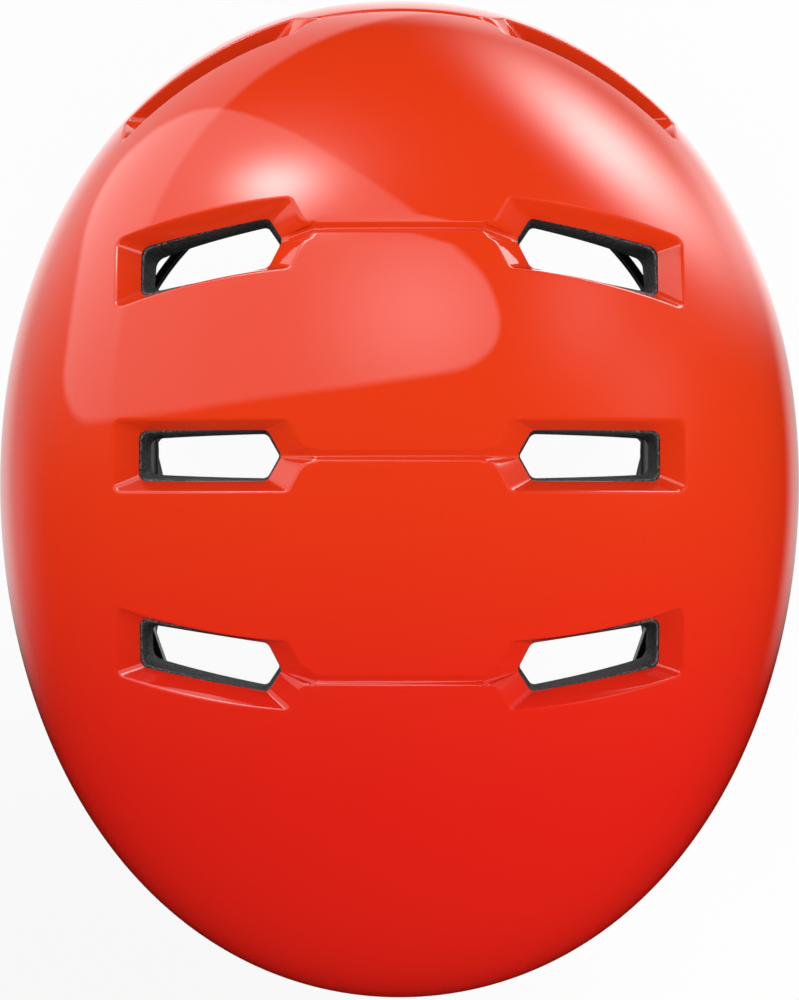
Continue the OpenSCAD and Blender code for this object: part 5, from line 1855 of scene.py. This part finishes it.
def reflected(slope):
    """Strength of what the gloss reflects: a softbox, soft spots, the pale rim and brow and a side panel."""
    level = slope.patch(SOFTBOX_PATCHES[0]) + slope.patch(SOFTBOX_PATCHES[1]) + SOFTBOX_LEVEL
    glow = slope.softbox() * level
    for patch in PATCHES:
        glow = glow + slope.patch(patch)
    steep = slope.distance()
    rim = steep.smooth(0.955, 0.985) * slope.y.smooth(-0.35, -0.05) * (0.3 + slope.x.smooth(0.0, 0.5) * 0.25)
    brow = steep.smooth(0.9, 0.95) * slope.y.smooth(0.2, 0.6) * slope.x.smooth(-0.3, 0.2)
    panel = slope.outside(SIDE_PANEL, SIDE_PANEL_REACH) * slope.x.smooth(0.25, -0.1)
    return glow + rim + brow + panel * slope.y.smooth(-0.05, 0.5) * SIDE_PANEL_LEVEL


def make_world():
    """Even daylight for the colours, the studio for the gloss, and white for the camera."""
    world = bpy.data.worlds.new("studio")
    world.use_nodes = True
    tree = Tree(world.node_tree)
    ray = tree.add("ShaderNodeTexCoord", output="Generated")

    def towards(side):
        return tree.add("ShaderNodeVectorMath", {"operation": "DOT_PRODUCT"}, ray, side, output=1)

    def light(strength):
        return tree.add("ShaderNodeBackground", None, (1, 1, 1, 1), strength)

    half = tree.add("ShaderNodeVectorMath", {"operation": "ADD"}, ray, (0, 0, 1))
    half = tree.add("ShaderNodeVectorMath", {"operation": "NORMALIZE"}, half)
    studio = light(reflected(Slope(*axes(tree, half)[:2])))
    dim = 1.0 - towards(DARK_SIDE).smooth(0.5, 0.92)
    low = abs(axes(tree, ray)[2]).smooth(0.6, 0.0)
    even = (low * 0.9 + towards(LEFT_SIDE).smooth(0.2, 0.9) * 0.45 + 1.0) * dim
    plain = light(even * settings().stage.daylight)
    glossy = tree.add("ShaderNodeLightPath", output="Is Glossy Ray")
    seen = tree.add("ShaderNodeLightPath", output="Is Camera Ray")
    shader = tree.add("ShaderNodeMixShader", None, glossy, plain, studio)
    shader = tree.add("ShaderNodeMixShader", None, seen, shader, light(1.0))
    tree.output(shader, "ShaderNodeOutputWorld")
    bpy.context.scene.world = world


def floor_finish(tree):
    """Matt floor, nearly white to the camera, with a painted shade spot under the helmet's rear left, and
    clear from below.
    """
    colour = settings().stage.floor
    # Painted shade: the floor turns nearly black around the shade spot, which darkens its bounce onto the
    # helmet's rear left
    away = tree.add("ShaderNodeVectorMath", {"operation": "DISTANCE"}, place(tree), FLOOR_SHADE_SPOT, output=1)
    colour = tree.mix(away.smooth(0.22, 0.05), rgba(colour), lighter(colour, 0.06))
    matt = tree.add("ShaderNodeBsdfDiffuse", Color=colour)
    glow = tree.add("ShaderNodeEmission", None, (1, 1, 1, 1), 1.0)
    seen = tree.add("ShaderNodeLightPath", output="Is Camera Ray")
    lit = tree.add("ShaderNodeMixShader", None, seen * 0.93, matt, glow)
    under = tree.add("ShaderNodeNewGeometry", output="Backfacing")
    return tree.add("ShaderNodeMixShader", None, under, lit, tree.add("ShaderNodeBsdfTransparent"))


def make_floor():
    low = CAD_BOX[0][2] - FLOOR_GAP
    mesh = bpy.data.meshes.new("studio_floor")
    corners = [(x * FLOOR_REACH, y * FLOOR_REACH, low) for x, y in ((-1, -1), (1, -1), (1, 1), (-1, 1))]
    mesh.from_pydata(corners, [], [(0, 1, 2, 3)])
    floor = put("studio_floor", mesh)
    floor.data.materials.append(material("studio floor", floor_finish))
    floor.visible_glossy = False
    floor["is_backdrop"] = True


def make_camera():
    """Camera straight above, whose picture is as wide as the stage says at the widest level."""
    stage = settings().stage
    lens = bpy.data.cameras.new("top camera")
    lens.sensor_fit = "HORIZONTAL"
    lens.sensor_width = 36
    lens.lens = lens.sensor_width * stage.camera_height / stage.picture_width
    lens.clip_end = 20
    camera = put("top camera", lens)
    camera.location = (0, CAMERA_Y * MM, settings().shell.widest + stage.camera_height)
    bpy.context.scene.camera = camera


class HELMET_OT_stage(bpy.types.Operator):
    """Set up the camera, the floor, the lamps and the studio"""
    bl_idname = "helmet.stage"
    bl_label = "Stage"

    def execute(self, context):
        make_camera()
        make_floor()
        make_world()
        context.scene.view_settings.view_transform = "Standard"
        area_light("front key", (-600, 200, 900), 0.8)
        area_light("rear fill", (400, -500, 900), 4.0)
        return {"FINISHED"}


PIECES = (HELMET_OT_stage, HELMET_OT_shell, HELMET_OT_foam, HELMET_OT_trim, HELMET_OT_ring, HELMET_OT_straps,
          HELMET_OT_pads, HELMET_OT_fittings)


class HELMET_PT_panel(bpy.types.Panel):
    """Lists the helmet's pieces"""
    bl_idname = "HELMET_PT_panel"
    bl_label = "Helmet"
    bl_space_type = "VIEW_3D"
    bl_region_type = "UI"
    bl_category = "Helmet"

    def draw(self, context):
        for piece in PIECES:
            self.layout.operator(piece.bl_idname)


GROUPS = (ShellSettings, VentSettings, LinerSettings, RingSettings, CradleSettings, StrapSettings,
          ColourSettings, StageSettings, HelmetSettings)


def register():
    for group in GROUPS + PIECES + (HELMET_PT_panel,):
        bpy.utils.register_class(group)
    bpy.types.Scene.helmet = PointerProperty(type=HelmetSettings)


def unregister():
    del bpy.types.Scene.helmet
    for group in reversed(GROUPS + PIECES + (HELMET_PT_panel,)):
        bpy.utils.unregister_class(group)


def plain(box):
    return [[float(v) for v in corner] for corner in box]


def main():
    register()
    for piece in PIECES:
        family, action = piece.bl_idname.split(".")
        getattr(getattr(bpy.ops, family), action)()
    {"cad": plain(CAD_BOX), "visual": plain(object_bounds())}


if __name__ == "__main__":
    main()
